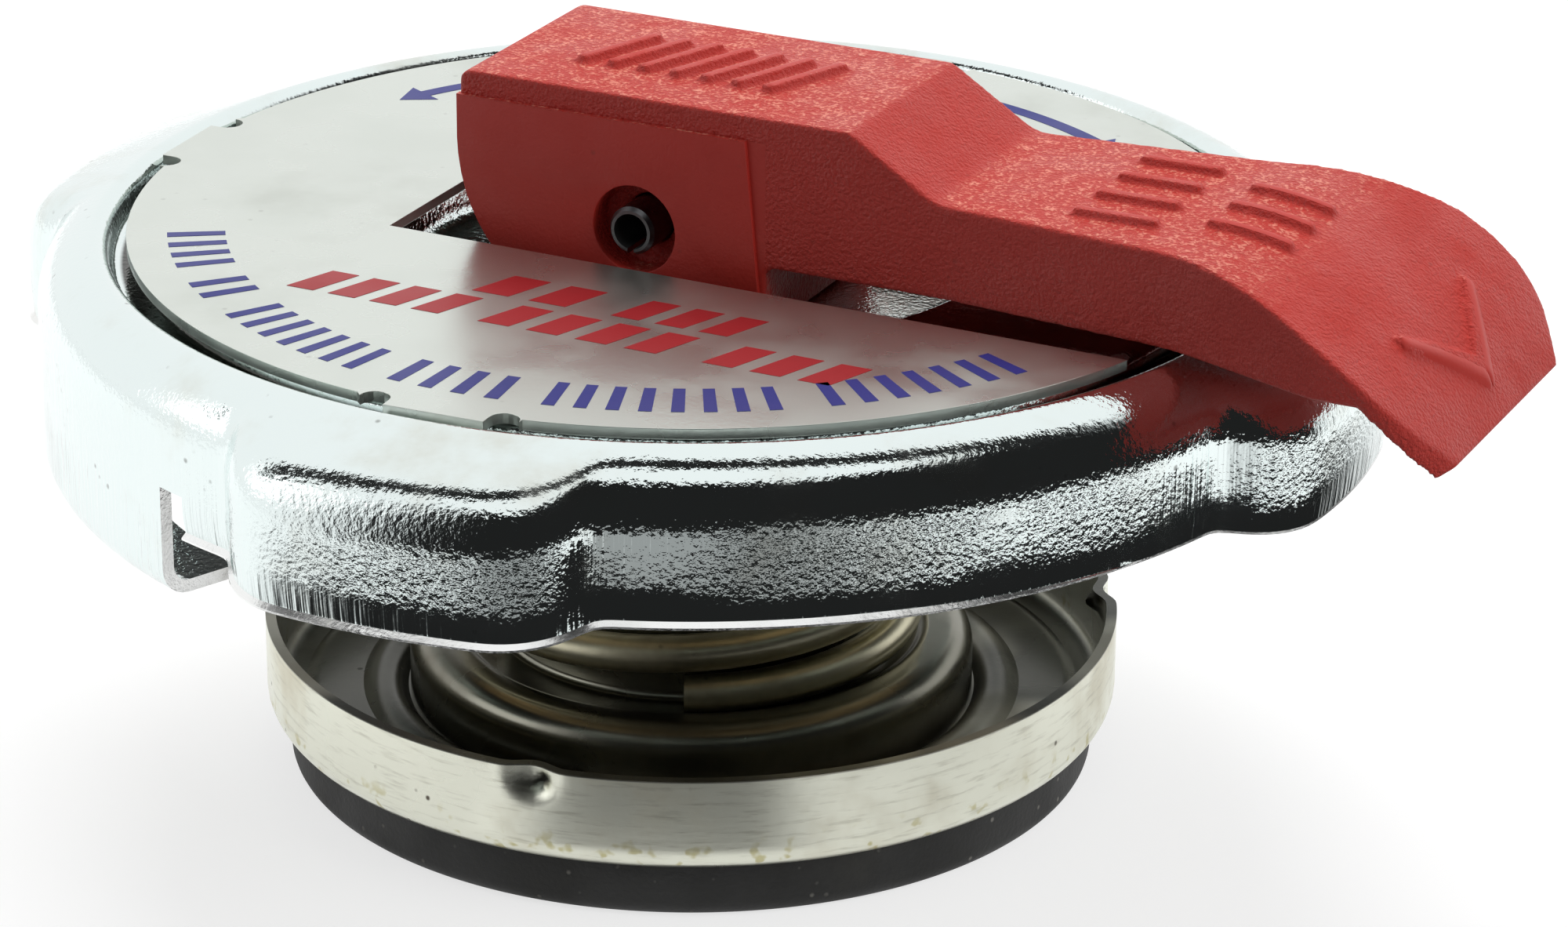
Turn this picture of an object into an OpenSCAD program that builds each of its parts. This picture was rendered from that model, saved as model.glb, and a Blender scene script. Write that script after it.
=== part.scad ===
// Radiator pressure cap with a safety release lever.
// Origin on the axis at the lower gasket's sealing face, +Z up, lever along +X. Millimetres.

/* [Shell] */
// Turn of the shell's lobes and ears from the lever's direction
shell_turn = 2.6; // [0:0.2:5]
// Radius of the plain skirt between the lobes
skirt_r = 30.6; // [30:0.1:31.6]
// How far the grip lobes stand out from the plain skirt
lobe_out = 2.6; // [2.2:0.1:3]
// Half the angle between the centres of a lobe's two end rounds
lobe_half_angle = 8.5; // [7:0.5:10]
// Radius of the round at each end of a lobe
lobe_end_r = 4.5; // [3.8:0.1:4.8]
// Height of the rim's inner edge above the lower gasket's face
rim_z = 27; // [26.8:0.1:28]
// Slope of the crown from the rim's inner edge outwards
crown_slope = 17; // [12:0.5:20]
// Radius of the rounded shoulder between crown and skirt
shoulder_r = 3; // [2:0.1:3.2]
// Radius of the rounded shoulder of a lobe
lobe_shoulder_r = 3; // [2:0.1:4]
// Height of the plain skirt's lower edge
skirt_z = 19.4; // [19:0.1:20]
// How far a lobe reaches below the plain skirt
lobe_dip = 0.4; // [0.1:0.1:0.8]
// Thickness of the shell's sheet
shell_t = 0.6; // [0.5:0.05:0.7]
// Radius of the sunk well under the lever
well_r = 14.2; // [13:0.1:15]
// Depth of the well below the label's seat
well_depth = 2.46; // [2:0.02:2.8]
// Width of the crown, from the rim's inner edge to the plain skirt
rim_w = 3.2; // [3:0.05:3.5]
// Depth of the moat round the label's edge
moat_depth = 0.9; // [0.5:0.1:1.2]
// Width of the moat round the label's edge
moat_w = 1.8; // [1.4:0.1:2.2]

/* [Bayonet ears] */
// Angle taken up by one ear
ear_angle = 39; // [34:1:44]
// Height of an ear's underside
ear_z = 16; // [15.6:0.1:16.8]
// How far the ears' flanges reach in from the plain skirt
ear_reach = 4; // [2.6:0.1:4.6]
// Outer bend radius of the ears
ear_bend_r = 1.4; // [1:0.1:2]
// Angle of the relief notch at each side of an ear
notch_angle = 3; // [2:0.5:5]
// Height of the relief notches above the plain skirt's edge
notch_h = 2; // [1.5:0.1:2.6]

/* [Label disc] */
// Clearance between the label's edge and the rim round it
label_gap = 1; // [0.7:0.1:1.5]
// Thickness of the label disc
label_t = 0.5; // [0.3:0.05:0.6]
// Width of the lever slot in the label
slot_w = 14.7; // [13.6:0.1:16]
// Distance from the axis to the slot's closed end
slot_back = 12.1; // [11.8:0.1:12.8]
// Width of the small tabs on the label's edge
tab_w = 4.8; // [3:0.2:6]
// Radius of the relief nicks at the sides of a tab
nick_r = 0.7; // [0.4:0.1:0.9]

/* [Lever] */
// Height of the pivot pin above the well's floor
pin_rise = 4.3; // [4.1:0.05:4.5]
// Height of the hub's top above the pin
hub_top = 6.3; // [5.8:0.1:6.8]
// Distance from the pin to the hub's closed end
hub_back = 9.2; // [8.9:0.05:9.4]
// Distance from the pin to the hub's step under the arm
hub_front = 6.6; // [6:0.1:7.5]
// Width of the hub
hub_w = 11.46; // [11:0.02:12.4]
// Length of the hub's flat top in front of the pin
hub_flat = 10.7; // [10:0.1:12]
// Length of the ramp from the hub's top to the arm
ramp_l = 4.3; // [3.5:0.1:6]
// Height of the arm's top above the pin
arm_top = 3.6; // [3.2:0.1:4]
// Clearance between the label and the arm's underside
arm_gap = 0.45; // [0.3:0.05:1]
// Distance from the pin to where the paddle begins to curve down
bend_x = 26.8; // [26:0.1:28]
// Radius of the paddle's curved top
paddle_r = 16; // [14.5:0.25:18]
// Angle that the paddle curves down through
paddle_angle = 58; // [52:0.5:62]
// Thickness of the paddle's lip
lip_t = 0.8; // [0.6:0.1:1.2]
// Width of the arm where the paddle begins
arm_w = 13.8; // [13:0.1:15]
// Width across the paddle at its widest
paddle_w = 19.5; // [17:0.25:21]
// Width across the paddle's tip
tip_w = 13.6; // [12:0.1:15]
// Height of the raised ribs and the arrow
rib_h = 0.35; // [0.2:0.05:0.5]
// Width of the raised ribs
rib_w = 0.6; // [0.4:0.1:1]
// Width across the arrow's two strokes
arrow_w = 8.8; // [7:0.2:11]
// Wall left around the core pockets under the arm
core_wall = 1.5; // [1.2:0.1:2]

/* [Pin and stem] */
// Diameter of the pivot pin
pin_d = 2.3; // [2:0.1:2.6]
// Wall of the hollow pivot pin
pin_wall = 0.3; // [0.2:0.05:0.4]
// How far the pin's ends stand out from the hub's sides
pin_out = 0.55; // [0.2:0.05:0.8]
// Radius of the counterbore round the pin's ends
counterbore_r = 2.15; // [1.8:0.05:2.4]
// Depth of that counterbore
counterbore_depth = 1.5; // [1:0.1:1.8]
// Diameter of the lift stem
stem_d = 4; // [3.8:0.1:4.2]
// Radius of the stem's shoulder
stem_shoulder_r = 4; // [3.4:0.1:4.6]
// Thickness of the stem's shoulder
stem_shoulder_h = 1.2; // [0.8:0.1:1.6]
// Radius of the stem's riveted neck
stem_neck_r = 1.6; // [1.2:0.1:1.7]
// Height of the stem's peened head
stem_head_h = 0.8; // [0.6:0.1:1]

/* [Valve] */
// Outside diameter of the valve ring
ring_d = 41; // [40:0.25:42]
// Height of the valve ring
ring_h = 4.7; // [4:0.1:5.5]
// Thickness of the valve ring's sheet
ring_t = 0.5; // [0.4:0.05:0.6]
// Radius of the ring's lower corner
ring_corner_r = 1.2; // [1:0.1:1.8]
// Radius of the crimp dents in the ring's top edge
dent_r = 1; // [0.8:0.05:1.2]
// Height of the lower gasket
gasket_h = 2.7; // [2.5:0.1:3]
// Step in from the ring to the gasket's edge
gasket_step = 1.1; // [0.8:0.1:1.4]
// Width of the domed seat's ridge outside the pressure spring
ridge_w = 2.4; // [1.9:0.1:2.6]
// Height of the dome's ridge above the ring's floor
ridge_h = 3.4; // [3.2:0.1:3.8]
// Height of the spring groove above the ring's floor
groove_h = 2.95; // [2.7:0.05:3.1]
// Height of the dome's boss above the ring's floor
boss_h = 7.8; // [7.4:0.1:8.2]
// Thickness of the dome's sheet
dome_t = 0.6; // [0.5:0.05:0.7]

/* [Springs] */
// Outside diameter of the pressure spring
spring_d = 22.4; // [22:0.1:22.6]
// Wire of the pressure spring
spring_wire = 1.8; // [1.6:0.05:1.9]
// Turns of the pressure spring, its two closed ends included
spring_turns = 4.5; // [4:0.25:4.75]
// Direction in which the pressure spring's lower end is cut
spring_cut_dir = -65; // [-180:5:180]
// Outside diameter of the vacuum spring
vacuum_spring_d = 4.2; // [3.6:0.1:4.8]
// Wire of the vacuum spring
vacuum_wire = 0.4; // [0.3:0.05:0.5]
// Turns of the vacuum spring
vacuum_turns = 4; // [3.5:0.25:4.5]

/* [Upper seat and seals] */
// Thickness of the diaphragm spring
diaphragm_t = 0.3; // [0.2:0.05:0.4]
// Radius of the diaphragm spring
diaphragm_r = 25.6; // [25:0.1:26]
// Thickness of the upper gasket
upper_gasket_h = 1.6; // [1.2:0.1:2]
// Width of the upper gasket
upper_gasket_w = 5; // [4:0.1:5.4]
// Thickness of the upper spring seat's sheet
seat_t = 0.6; // [0.5:0.05:0.7]
// Radius of the cup in the upper spring seat
seat_cup_r = 6.2; // [5.8:0.1:6.6]
// Depth of that cup
seat_cup_depth = 2.8; // [2.4:0.1:3]
// Thickness of the washer over the stem seal
seal_washer_t = 0.4; // [0.3:0.05:0.5]

/* [Vacuum valve] */
// Radius of the vacuum plate
vacuum_r = 11.9; // [11.5:0.1:12.1]
// Thickness of the vacuum plate
vacuum_t = 0.6; // [0.5:0.05:0.7]
// Diameter of the vacuum stem
vacuum_stem_d = 2; // [1.8:0.1:2.1]
// Radius of the retainer's tube through the gasket
retainer_r = 7.1; // [6.8:0.1:7.4]
// Thickness of the retainer's sheet
retainer_t = 0.5; // [0.4:0.05:0.5]
// Radius of the clip on the vacuum stem
clip_r = 2.6; // [2.3:0.1:3]
// Thickness of that clip
clip_t = 0.4; // [0.3:0.05:0.5]

/* [Clearances] */
// Radial clearance of running fits
running_fit = 0.05; // [0.03:0.01:0.08]
// Clearance at each side of the stem in the lever's fork
fork_gap = 0.15; // [0.1:0.05:0.3]
// Clearance between the lever's cam and the well's floor
cam_gap = 0.1; // [0.05:0.05:0.2]
// Radial clearance of the stem in the sheet metal it passes through
stem_gap = 0.3; // [0.2:0.05:0.5]
// Clearance of pressed pieces that are put together by hand
assembly_gap = 0.1; // [0.05:0.05:0.15]

/* [Hidden] */
$fn = 72;
// Straight pieces that a rounded corner in a profile is drawn with
corner_steps = 6;
// A small extra so that cuts run clear through
over = 1;
// A reach well past the whole part, for cutting blocks
far = 60;

// Heights, from the lower gasket upwards
z_floor = gasket_h;
z_floor_top = z_floor + ring_t;
z_ring_top = z_floor + ring_h;
z_groove = z_floor_top + groove_h;
z_ridge = z_floor_top + ridge_h;
z_boss = z_floor_top + boss_h;
label_sink = 0.64;
bead_rise = 0.25;
vacuum_rise = 3.4;
z_label_seat = rim_z - label_sink;
z_label_top = z_label_seat + label_t;
z_moat = z_label_seat - moat_depth;
z_well = z_label_seat - well_depth;
z_diaphragm = z_well - shell_t - diaphragm_t;
z_seat = z_diaphragm - seat_t;
z_seat_cup = z_seat - seat_cup_depth;
z_upper_gasket = z_diaphragm - upper_gasket_h;
z_pin = z_well + pin_rise;
z_lobe_foot = skirt_z - lobe_dip;
// Lowest point of the gasket's bead, where the vacuum plate seals
z_bead = gasket_h / 2;
z_retainer = z_bead + bead_rise;
z_web = z_floor_top;
// Underside of the vacuum stem's clip
z_clip = z_web + retainer_t + vacuum_rise;

// Radii that follow from the driving sizes
lobe_r = skirt_r + lobe_out;
rim_inner_r = skirt_r - rim_w;
ear_inner_r = skirt_r - ear_reach;
label_r = rim_inner_r - label_gap;
ring_r = ring_d / 2;
gasket_r = ring_r - gasket_step;
pin_r = pin_d / 2;
stem_r = stem_d / 2;
vacuum_stem_r = vacuum_stem_d / 2;
spring_mean_r = (spring_d - spring_wire) / 2;
spring_inner_r = spring_d / 2 - spring_wire;
boss_r = spring_inner_r - 4 * assembly_gap;
dome_r = spring_d / 2 + ridge_w;
flange_r = vacuum_r - 2.9;
stem_washer_t = 0.4;
vacuum_dish = 0.3;
// Lean of the rim's inner wall and of the well's wall, from foot to top
rim_lean = 0.3;
well_lean = 1;
// Radius where a lobe leaves the crown
lobe_in = rim_inner_r + 2 * shell_t;
stem_hole_r = stem_r + stem_gap;
// Outer bend radius at the foot of the upper seat's cup
seat_bend_r = 1;

// Lengths and angles of the lever, measured from the pin
cam_base = pin_rise - cam_gap;
// Valve lift for the lever's quarter turn, which ends with the hub's flat back on the well's floor
valve_lift = hub_back - cam_base;
hub_half = hub_w / 2;
ramp_foot = hub_flat + ramp_l;
arm_under = z_label_top + arm_gap - z_pin;
tip_x = bend_x + paddle_r * sin(paddle_angle);
fork_half = stem_r + fork_gap;
stem_tip = pin_r + 1;
fork_clear_r = norm([stem_tip, stem_r]) + 2 * fork_gap;
// Lift of the cam for each radian that the lever turns
cam_rate = valve_lift / (PI / 2);

function unit(v) = v / norm(v);
function left_of(d) = [-d[1], d[0]];
function spot(p) = [p[0], p[1]];
function turn(d1, d2) = d1[0] * d2[1] - d1[1] * d2[0];
function reversed(list) = [for (i = [len(list) - 1:-1:0]) list[i]];

// Arc that rounds the corner b between a and c
function corner_arc(a, b, c, r) =
  let (u = unit(a - b), v = unit(c - b))
  let (half = acos(u * v) / 2)
  let (centre = b + unit(u + v) * r / sin(half))
  let (from = unit(b + u * r / tan(half) - centre), to = unit(b + v * r / tan(half) - centre))
  let (sweep = 180 - 2 * half)
  [for (k = [0:corner_steps]) let (t = k / corner_steps)
    centre + r * (sin(sweep * (1 - t)) * from + sin(sweep * t) * to) / sin(sweep)];

// Path of [x, z, corner radius] points turned into plain points with round corners
function rounded(path) =
  [for (i = [0:len(path) - 1])
    each (i == 0 || i == len(path) - 1 || path[i][2] <= 0)
      ? [spot(path[i])]
      : corner_arc(spot(path[i - 1]), spot(path[i]), spot(path[i + 1]), path[i][2])];

// The same path moved sideways by t, to its left where t is positive, with matching corner radii
function beside(path, t) =
  [for (i = [0:len(path) - 1])
    let (d1 = unit(spot(path[max(i, 1)]) - spot(path[max(i, 1) - 1])))
    let (d2 = unit(spot(path[min(i + 1, len(path) - 1)]) - spot(path[min(i + 1, len(path) - 1) - 1])))
    let (n1 = left_of(d1), n2 = left_of(d2))
    let (moved = spot(path[i]) + t * (n1 + n2) / (1 + n1 * n2))
    [moved[0], moved[1], path[i][2] <= 0 ? 0 : path[i][2] - t * sign(turn(d1, d2))]];

// Section of a pressed sheet of thickness t laid along a path
function sheet(path, t) = concat(rounded(path), reversed(rounded(beside(path, t))));

module pressed(path, t) {
  rotate_extrude() polygon(sheet(path, t));
}

module ring(inner, outer, z, h) {
  translate([0, 0, z]) difference() {
    cylinder(r = outer, h = h);
    translate([0, 0, -over]) cylinder(r = inner, h = h + 2 * over);
  }
}

// Wedge of the plane between two directions
module sector(from, to) {
  steps = 8;
  polygon(concat([[0, 0]], [for (k = [0:steps]) far * [cos(from + (to - from) * k / steps),
    sin(from + (to - from) * k / steps)]]));
}

// Helix of round wire between two heights, with closed turns at both ends
module coil(mean_r, wire, turns, z_low, z_high, cut_dir, rings_a_turn, sides) {
  closed = 0.9;
  close_pitch = wire * 1.03;
  climb = z_high - z_low - wire;
  steps = round(turns * rings_a_turn);
  rise = climb - close_pitch * turns;
  function height(t) = z_low + wire / 2 + close_pitch * t
    + rise * min(1, max(0, (t - closed) / (turns - 2 * closed)));
  points = [for (i = [0:steps], j = [0:sides - 1])
    let (t = turns * i / steps, a = cut_dir + 360 * t, b = 360 * j / sides)
    let (r = mean_r + wire / 2 * cos(b))
    [r * cos(a), r * sin(a), height(t) + wire / 2 * sin(b)]];
  walls = [for (i = [0:steps - 1], j = [0:sides - 1])
    let (n = (j + 1) % sides, low = i * sides, up = (i + 1) * sides)
    each [[low + j, up + j, up + n], [low + j, up + n, low + n]]];
  ends = [[for (j = [0:sides - 1]) j], [for (j = [sides - 1:-1:0]) steps * sides + j]];
  polyhedron(points, concat(walls, ends), convexity = 8);
}

// Shell: top surface from the axis out over rim and shoulder, down the skirt and under the ears
function crown_z(r) = rim_z - (r - rim_inner_r) * tan(crown_slope);
shell_path = [
  [0, z_well, 0],
  [well_r - well_lean / 2, z_well, 0.9],
  [well_r + well_lean / 2, z_label_seat, 0.8],
  [rim_inner_r - moat_w - rim_lean, z_label_seat, 0.7],
  [rim_inner_r - moat_w, z_moat, 0.3],
  [rim_inner_r - rim_lean, z_moat, 0.3],
  [rim_inner_r, rim_z, 0.7],
  [skirt_r, crown_z(skirt_r), shoulder_r],
  [skirt_r, ear_z, ear_bend_r],
  [0, ear_z, 0]];
lobe_path = [
  [lobe_in, crown_z(lobe_in), 0],
  [lobe_r, crown_z(lobe_r), lobe_shoulder_r],
  [lobe_r, z_lobe_foot, 0]];

// Solid inside the shell's surface, moved in by the given thickness
module shell_body(inset) {
  rotate_extrude() polygon(rounded(beside(shell_path, -inset)));
}

module lobe_plan(inset) {
  intersection() {
    circle(r = lobe_r - inset);
    sector(-lobe_half_angle, lobe_half_angle);
  }
  for (side = [-1, 1]) rotate(side * lobe_half_angle) {
    translate([lobe_r - lobe_end_r, 0]) circle(r = lobe_end_r - inset);
    translate([0, side > 0 ? 0 : inset - lobe_end_r])
      square([lobe_r - lobe_end_r, lobe_end_r - inset]);
  }
}

module lobes(inset, extra) {
  wall = rounded(beside(lobe_path, -inset));
  foot = z_lobe_foot - extra;
  for (k = [0:3]) rotate(90 * k) intersection() {
    rotate_extrude() polygon(concat(wall, [[lobe_r - inset, foot - over], [lobe_in, foot - over]]));
    translate([0, 0, foot]) linear_extrude(height = far) lobe_plan(inset);
  }
}

// Everything below the plain skirt's edge, apart from the two ears
module skirt_trim() {
  for (k = [45, 225]) rotate(k) {
    translate([0, 0, -over]) linear_extrude(height = skirt_z + over)
      sector(ear_angle / 2, 180 - ear_angle / 2);
    translate([0, 0, -over]) linear_extrude(height = skirt_z + notch_h + over)
      sector(ear_angle / 2, ear_angle / 2 + notch_angle);
    translate([0, 0, -over]) linear_extrude(height = skirt_z + notch_h + over)
      sector(-ear_angle / 2 - notch_angle, -ear_angle / 2);
  }
}

module shell() {
  color([0.82, 0.85, 0.86]) rotate(shell_turn) difference() {
    union() {
      difference() {
        shell_body(0);
        skirt_trim();
      }
      lobes(0, 0);
    }
    shell_body(shell_t);
    lobes(shell_t, over);
    cylinder(r = ear_inner_r, h = ear_z + 2 * shell_t);
    cylinder(r = stem_hole_r, h = far);
  }
}

module label_disc() {
  tab_end = rim_inner_r - rim_lean - assembly_gap;
  tab_dirs = [for (k = [1:3]) shell_turn + 90 * k];
  color([0.85, 0.86, 0.84]) translate([0, 0, z_label_seat]) linear_extrude(height = label_t) difference() {
    union() {
      circle(r = label_r);
      for (a = tab_dirs) rotate(a) translate([0, -tab_w / 2]) square([tab_end, tab_w]);
    }
    for (a = tab_dirs, side = [-1, 1]) rotate(a) translate([label_r, side * (tab_w / 2 + nick_r)])
      circle(r = nick_r);
    translate([-slot_back, -slot_w / 2]) square([far, slot_w]);
  }
}

module diaphragm_spring() {
  wave_r = (well_r + diaphragm_r - upper_gasket_w) / 2;
  wave_w = 1.2;
  wave_depth = 0.5;
  color([0.72, 0.66, 0.5]) pressed([
    [stem_hole_r + stem_gap, z_diaphragm, 0],
    [wave_r - wave_w, z_diaphragm, 0.6],
    [wave_r, z_diaphragm - wave_depth, 0.8],
    [wave_r + wave_w, z_diaphragm, 0.6],
    [diaphragm_r, z_diaphragm, 0]], diaphragm_t);
}

module upper_gasket() {
  edge_r = 0.4;
  color([0.13, 0.13, 0.13]) rotate_extrude() polygon(rounded([
    [diaphragm_r - upper_gasket_w, z_diaphragm, 0],
    [diaphragm_r - upper_gasket_w, z_upper_gasket, edge_r],
    [diaphragm_r, z_upper_gasket, edge_r],
    [diaphragm_r, z_diaphragm, 0]]));
}

module upper_spring_seat() {
  rim_r = spring_d / 2 + 5 * assembly_gap;
  rim_depth = 1.2;
  seat_edge_r = 0.4;
  color([0.7, 0.7, 0.68]) pressed([
    [stem_hole_r, z_seat_cup, 0],
    [seat_cup_r, z_seat_cup, seat_bend_r],
    [seat_cup_r, z_seat, seat_edge_r],
    [rim_r, z_seat, seat_edge_r],
    [rim_r, z_seat - rim_depth, 0]], seat_t);
}

module stem_seal() {
  seal_h = z_diaphragm - seal_washer_t - z_seat_cup - seat_t;
  seal_r = seat_cup_r - seat_t - assembly_gap;
  foot = z_seat_cup + seat_t;
  color([0.12, 0.12, 0.12]) rotate_extrude() polygon(rounded([
    [stem_r + running_fit, foot, 0],
    [seal_r, foot, seat_bend_r - seat_t + assembly_gap],
    [seal_r, foot + seal_h, 0],
    [stem_r + running_fit, foot + seal_h, 0]]));
}

module seal_washer() {
  color([0.7, 0.7, 0.68])
    ring(stem_hole_r, seat_cup_r - seat_t - assembly_gap, z_diaphragm - seal_washer_t, seal_washer_t);
}

module pressure_spring() {
  rings_a_turn = 24;
  wire_sides = 10;
  color([0.62, 0.55, 0.38]) coil(spring_mean_r, spring_wire, spring_turns, z_groove, z_seat, spring_cut_dir,
    rings_a_turn, wire_sides);
}

// Ring: underside from the retainer's tube outwards, then up the wall
module valve_ring() {
  hump_r = dome_r + 1.1;
  hump_foot = dome_r + ring_t / 2 + assembly_gap;
  hump_h = 1;
  step_r = ring_r - 2.4;
  step_h = 0.2;
  color([0.72, 0.7, 0.64]) difference() {
    union() {
      pressed([
        [retainer_r + assembly_gap, z_floor, 0],
        [hump_foot, z_floor, 0.4],
        [hump_r, z_floor + hump_h, 0.6],
        [hump_r + hump_h, z_floor + step_h, 0.5],
        [step_r, z_floor + step_h, 0.6],
        [step_r + hump_h / 2, z_floor, 0.6],
        [ring_r, z_floor, ring_corner_r],
        [ring_r, z_ring_top, 0]], ring_t);
      dents(dent_r + ring_t);
    }
    dents(dent_r);
    translate([0, 0, z_ring_top]) cylinder(r = far, h = 2 * dent_r);
  }
}

// Crimp dents pushed into the top of the ring's wall at three places
module dents(r) {
  dent_dir = -90;
  for (k = [0:2]) rotate(dent_dir + 120 * k) intersection() {
    translate([ring_r, 0, z_ring_top - 0.7 * dent_r]) sphere(r = r);
    translate([0, -far / 2, 0]) cube([ring_r, far, far]);
  }
}

// Dome: top surface from the stem's hole over the boss, through the groove and over the ridge
module lower_spring_seat() {
  color([0.5, 0.48, 0.44]) pressed([
    [stem_neck_r + assembly_gap, z_boss, 0],
    [boss_r, z_boss, 1.6],
    [boss_r, z_groove, 0.4],
    [spring_mean_r + spring_wire / 3, z_groove, 0.4],
    [spring_mean_r + spring_wire / 2 + assembly_gap, z_ridge, 0.7],
    [dome_r, z_ridge, 1.3],
    [dome_r, z_floor_top, 0]], -dome_t);
}

// Gasket: flat sealing face outside, a thinner lip inside with a bead for the vacuum plate
module lower_gasket() {
  edge_r = 0.4;
  outer_edge_r = 0.8;
  recess_r = vacuum_r + 0.7;
  bead_r = vacuum_r - 1.1;
  bead_w = 0.6;
  bead_h = 0.15;
  tube = retainer_r + assembly_gap;
  flange = z_retainer + retainer_t;
  color([0.12, 0.12, 0.13]) rotate_extrude() polygon(rounded([
    [tube, z_floor, 0],
    [tube, flange, 0],
    [flange_r + assembly_gap, flange, 0],
    [flange_r + assembly_gap, z_bead + bead_h, 0],
    [bead_r - bead_w, z_bead + bead_h, 0],
    [bead_r - bead_w / 2, z_bead, 0],
    [bead_r + bead_w / 2, z_bead, 0],
    [bead_r + bead_w, z_bead + bead_h, 0],
    [recess_r, z_bead + bead_h, 0],
    [recess_r, 0, edge_r],
    [gasket_r, 0, outer_edge_r],
    [gasket_r, z_floor, 0]]));
}

// Retainer: flange under the gasket's lip, tube through it, web with the vacuum stem's guide hole
module gasket_retainer() {
  vent_r = 1.2;
  vents = 4;
  color([0.7, 0.7, 0.68]) difference() {
    union() {
      ring(retainer_r - retainer_t, flange_r, z_retainer, retainer_t);
      ring(retainer_r - retainer_t, retainer_r, z_retainer, z_web + retainer_t - z_retainer);
      ring(vacuum_stem_r + running_fit, retainer_r, z_web, retainer_t);
    }
    for (k = [1:vents]) rotate(360 * k / vents) translate([retainer_r * 0.6, 0, z_web - over])
      cylinder(r = vent_r, h = retainer_t + 2 * over);
  }
}

// Stem: peened head and neck under the boss, shoulder on it, plain rod up to the pivot pin
module lift_stem() {
  head_r = 2 * stem_neck_r;
  z_head = z_boss - dome_t - stem_washer_t - stem_head_h;
  z_tip = z_pin + stem_tip;
  tip_round = 0.8;
  color([0.6, 0.6, 0.6]) difference() {
    rotate_extrude() polygon(rounded([
      [0, z_head, 0],
      [head_r, z_head, 0.5],
      [head_r, z_head + stem_head_h, 0],
      [stem_neck_r, z_head + stem_head_h, 0],
      [stem_neck_r, z_boss, 0],
      [stem_shoulder_r, z_boss, 0],
      [stem_shoulder_r, z_boss + stem_shoulder_h, 0.3],
      [stem_r, z_boss + stem_shoulder_h, 0],
      [stem_r, z_tip, tip_round],
      [0, z_tip, 0]]));
    translate([0, 0, z_pin]) rotate([90, 0, 0]) cylinder(r = pin_r, h = far, center = true);
  }
}

module stem_washer() {
  color([0.7, 0.7, 0.68])
    ring(stem_neck_r + assembly_gap, stem_shoulder_r, z_boss - dome_t - stem_washer_t, stem_washer_t);
}

module pivot_pin() {
  slit = 0.4;
  length = hub_w + 2 * pin_out;
  color([0.3, 0.3, 0.31]) translate([0, 0, z_pin]) rotate([90, 0, 0]) difference() {
    cylinder(r = pin_r, h = length, center = true);
    cylinder(r = pin_r - pin_wall, h = length + over, center = true);
    translate([-slit / 2, -pin_d, -length]) cube([slit, pin_d, 2 * length]);
  }
}

module vacuum_disc() {
  color([0.75, 0.6, 0.3]) pressed([
    [vacuum_stem_r, z_bead - vacuum_t - vacuum_dish, 0],
    [retainer_r - 2, z_bead - vacuum_t - vacuum_dish, 0.8],
    [retainer_r, z_bead - vacuum_t, 0.8],
    [vacuum_r, z_bead - vacuum_t, 0]], vacuum_t);
}

module vacuum_stem() {
  head_h = 0.3;
  head_r = 1.8 * vacuum_stem_r;
  z_disc = z_bead - vacuum_t - vacuum_dish;
  color([0.75, 0.6, 0.3]) {
    translate([0, 0, z_disc - head_h]) cylinder(r = head_r, h = head_h);
    translate([0, 0, z_disc - head_h])
      cylinder(r = vacuum_stem_r, h = z_clip + 2 * clip_t - z_disc + head_h);
  }
}

module vacuum_spring() {
  rings_a_turn = 14;
  wire_sides = 6;
  color([0.7, 0.68, 0.6]) coil((vacuum_spring_d - vacuum_wire) / 2, vacuum_wire, vacuum_turns,
    z_web + retainer_t, z_clip, 0, rings_a_turn, wire_sides);
}

module vacuum_clip() {
  color([0.6, 0.6, 0.6]) ring(vacuum_stem_r, clip_r, z_clip, clip_t);
}

// Cam: its distance from the pin grows evenly with the lever's angle, so that lift follows the turn
function cam_spot(a) =
  let (reach = cam_base + valve_lift * a / 90)
  reach * [-sin(a), -cos(a)] + cam_rate * [-cos(a), sin(a)];
cam_steps = 15;
cam = [for (k = [0:cam_steps - 1]) cam_spot(90 * k / cam_steps)];

// Arc about the centre of the paddle's curve, from the arm towards the tip
function paddle_arc(r, from, to) =
  let (steps = 14)
  [for (k = [0:steps]) let (a = from + (to - from) * k / steps)
    [bend_x + r * sin(a), arm_top - paddle_r + r * cos(a)]];

// Side view of the lever about the pin, from the hub's back corner over the top to the tip and back
heel_h = 0.4;
hub_back_edge_r = 0.6;
hub_front_edge_r = 1;
ramp_r = 2;
hub_step_r = 0.4;
lip_r = paddle_r - lip_t;
lip_from = acos((arm_under - arm_top + paddle_r) / lip_r);
lever_side = concat(
  rounded([
    [-hub_back, cam[len(cam) - 1][1] + heel_h, 0],
    [-hub_back, hub_top, hub_back_edge_r],
    [hub_flat, hub_top, hub_front_edge_r],
    [ramp_foot, arm_top, ramp_r],
    [bend_x - over, arm_top, 0]]),
  paddle_arc(paddle_r, 0, paddle_angle),
  paddle_arc(lip_r, paddle_angle, lip_from),
  rounded([
    [bend_x, arm_under, 0],
    [hub_front, arm_under, hub_step_r],
    [hub_front, -cam_base, hub_step_r],
    [cam[0][0], -cam_base, 0]]),
  [for (k = [1:len(cam) - 1]) cam[k]]);

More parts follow.
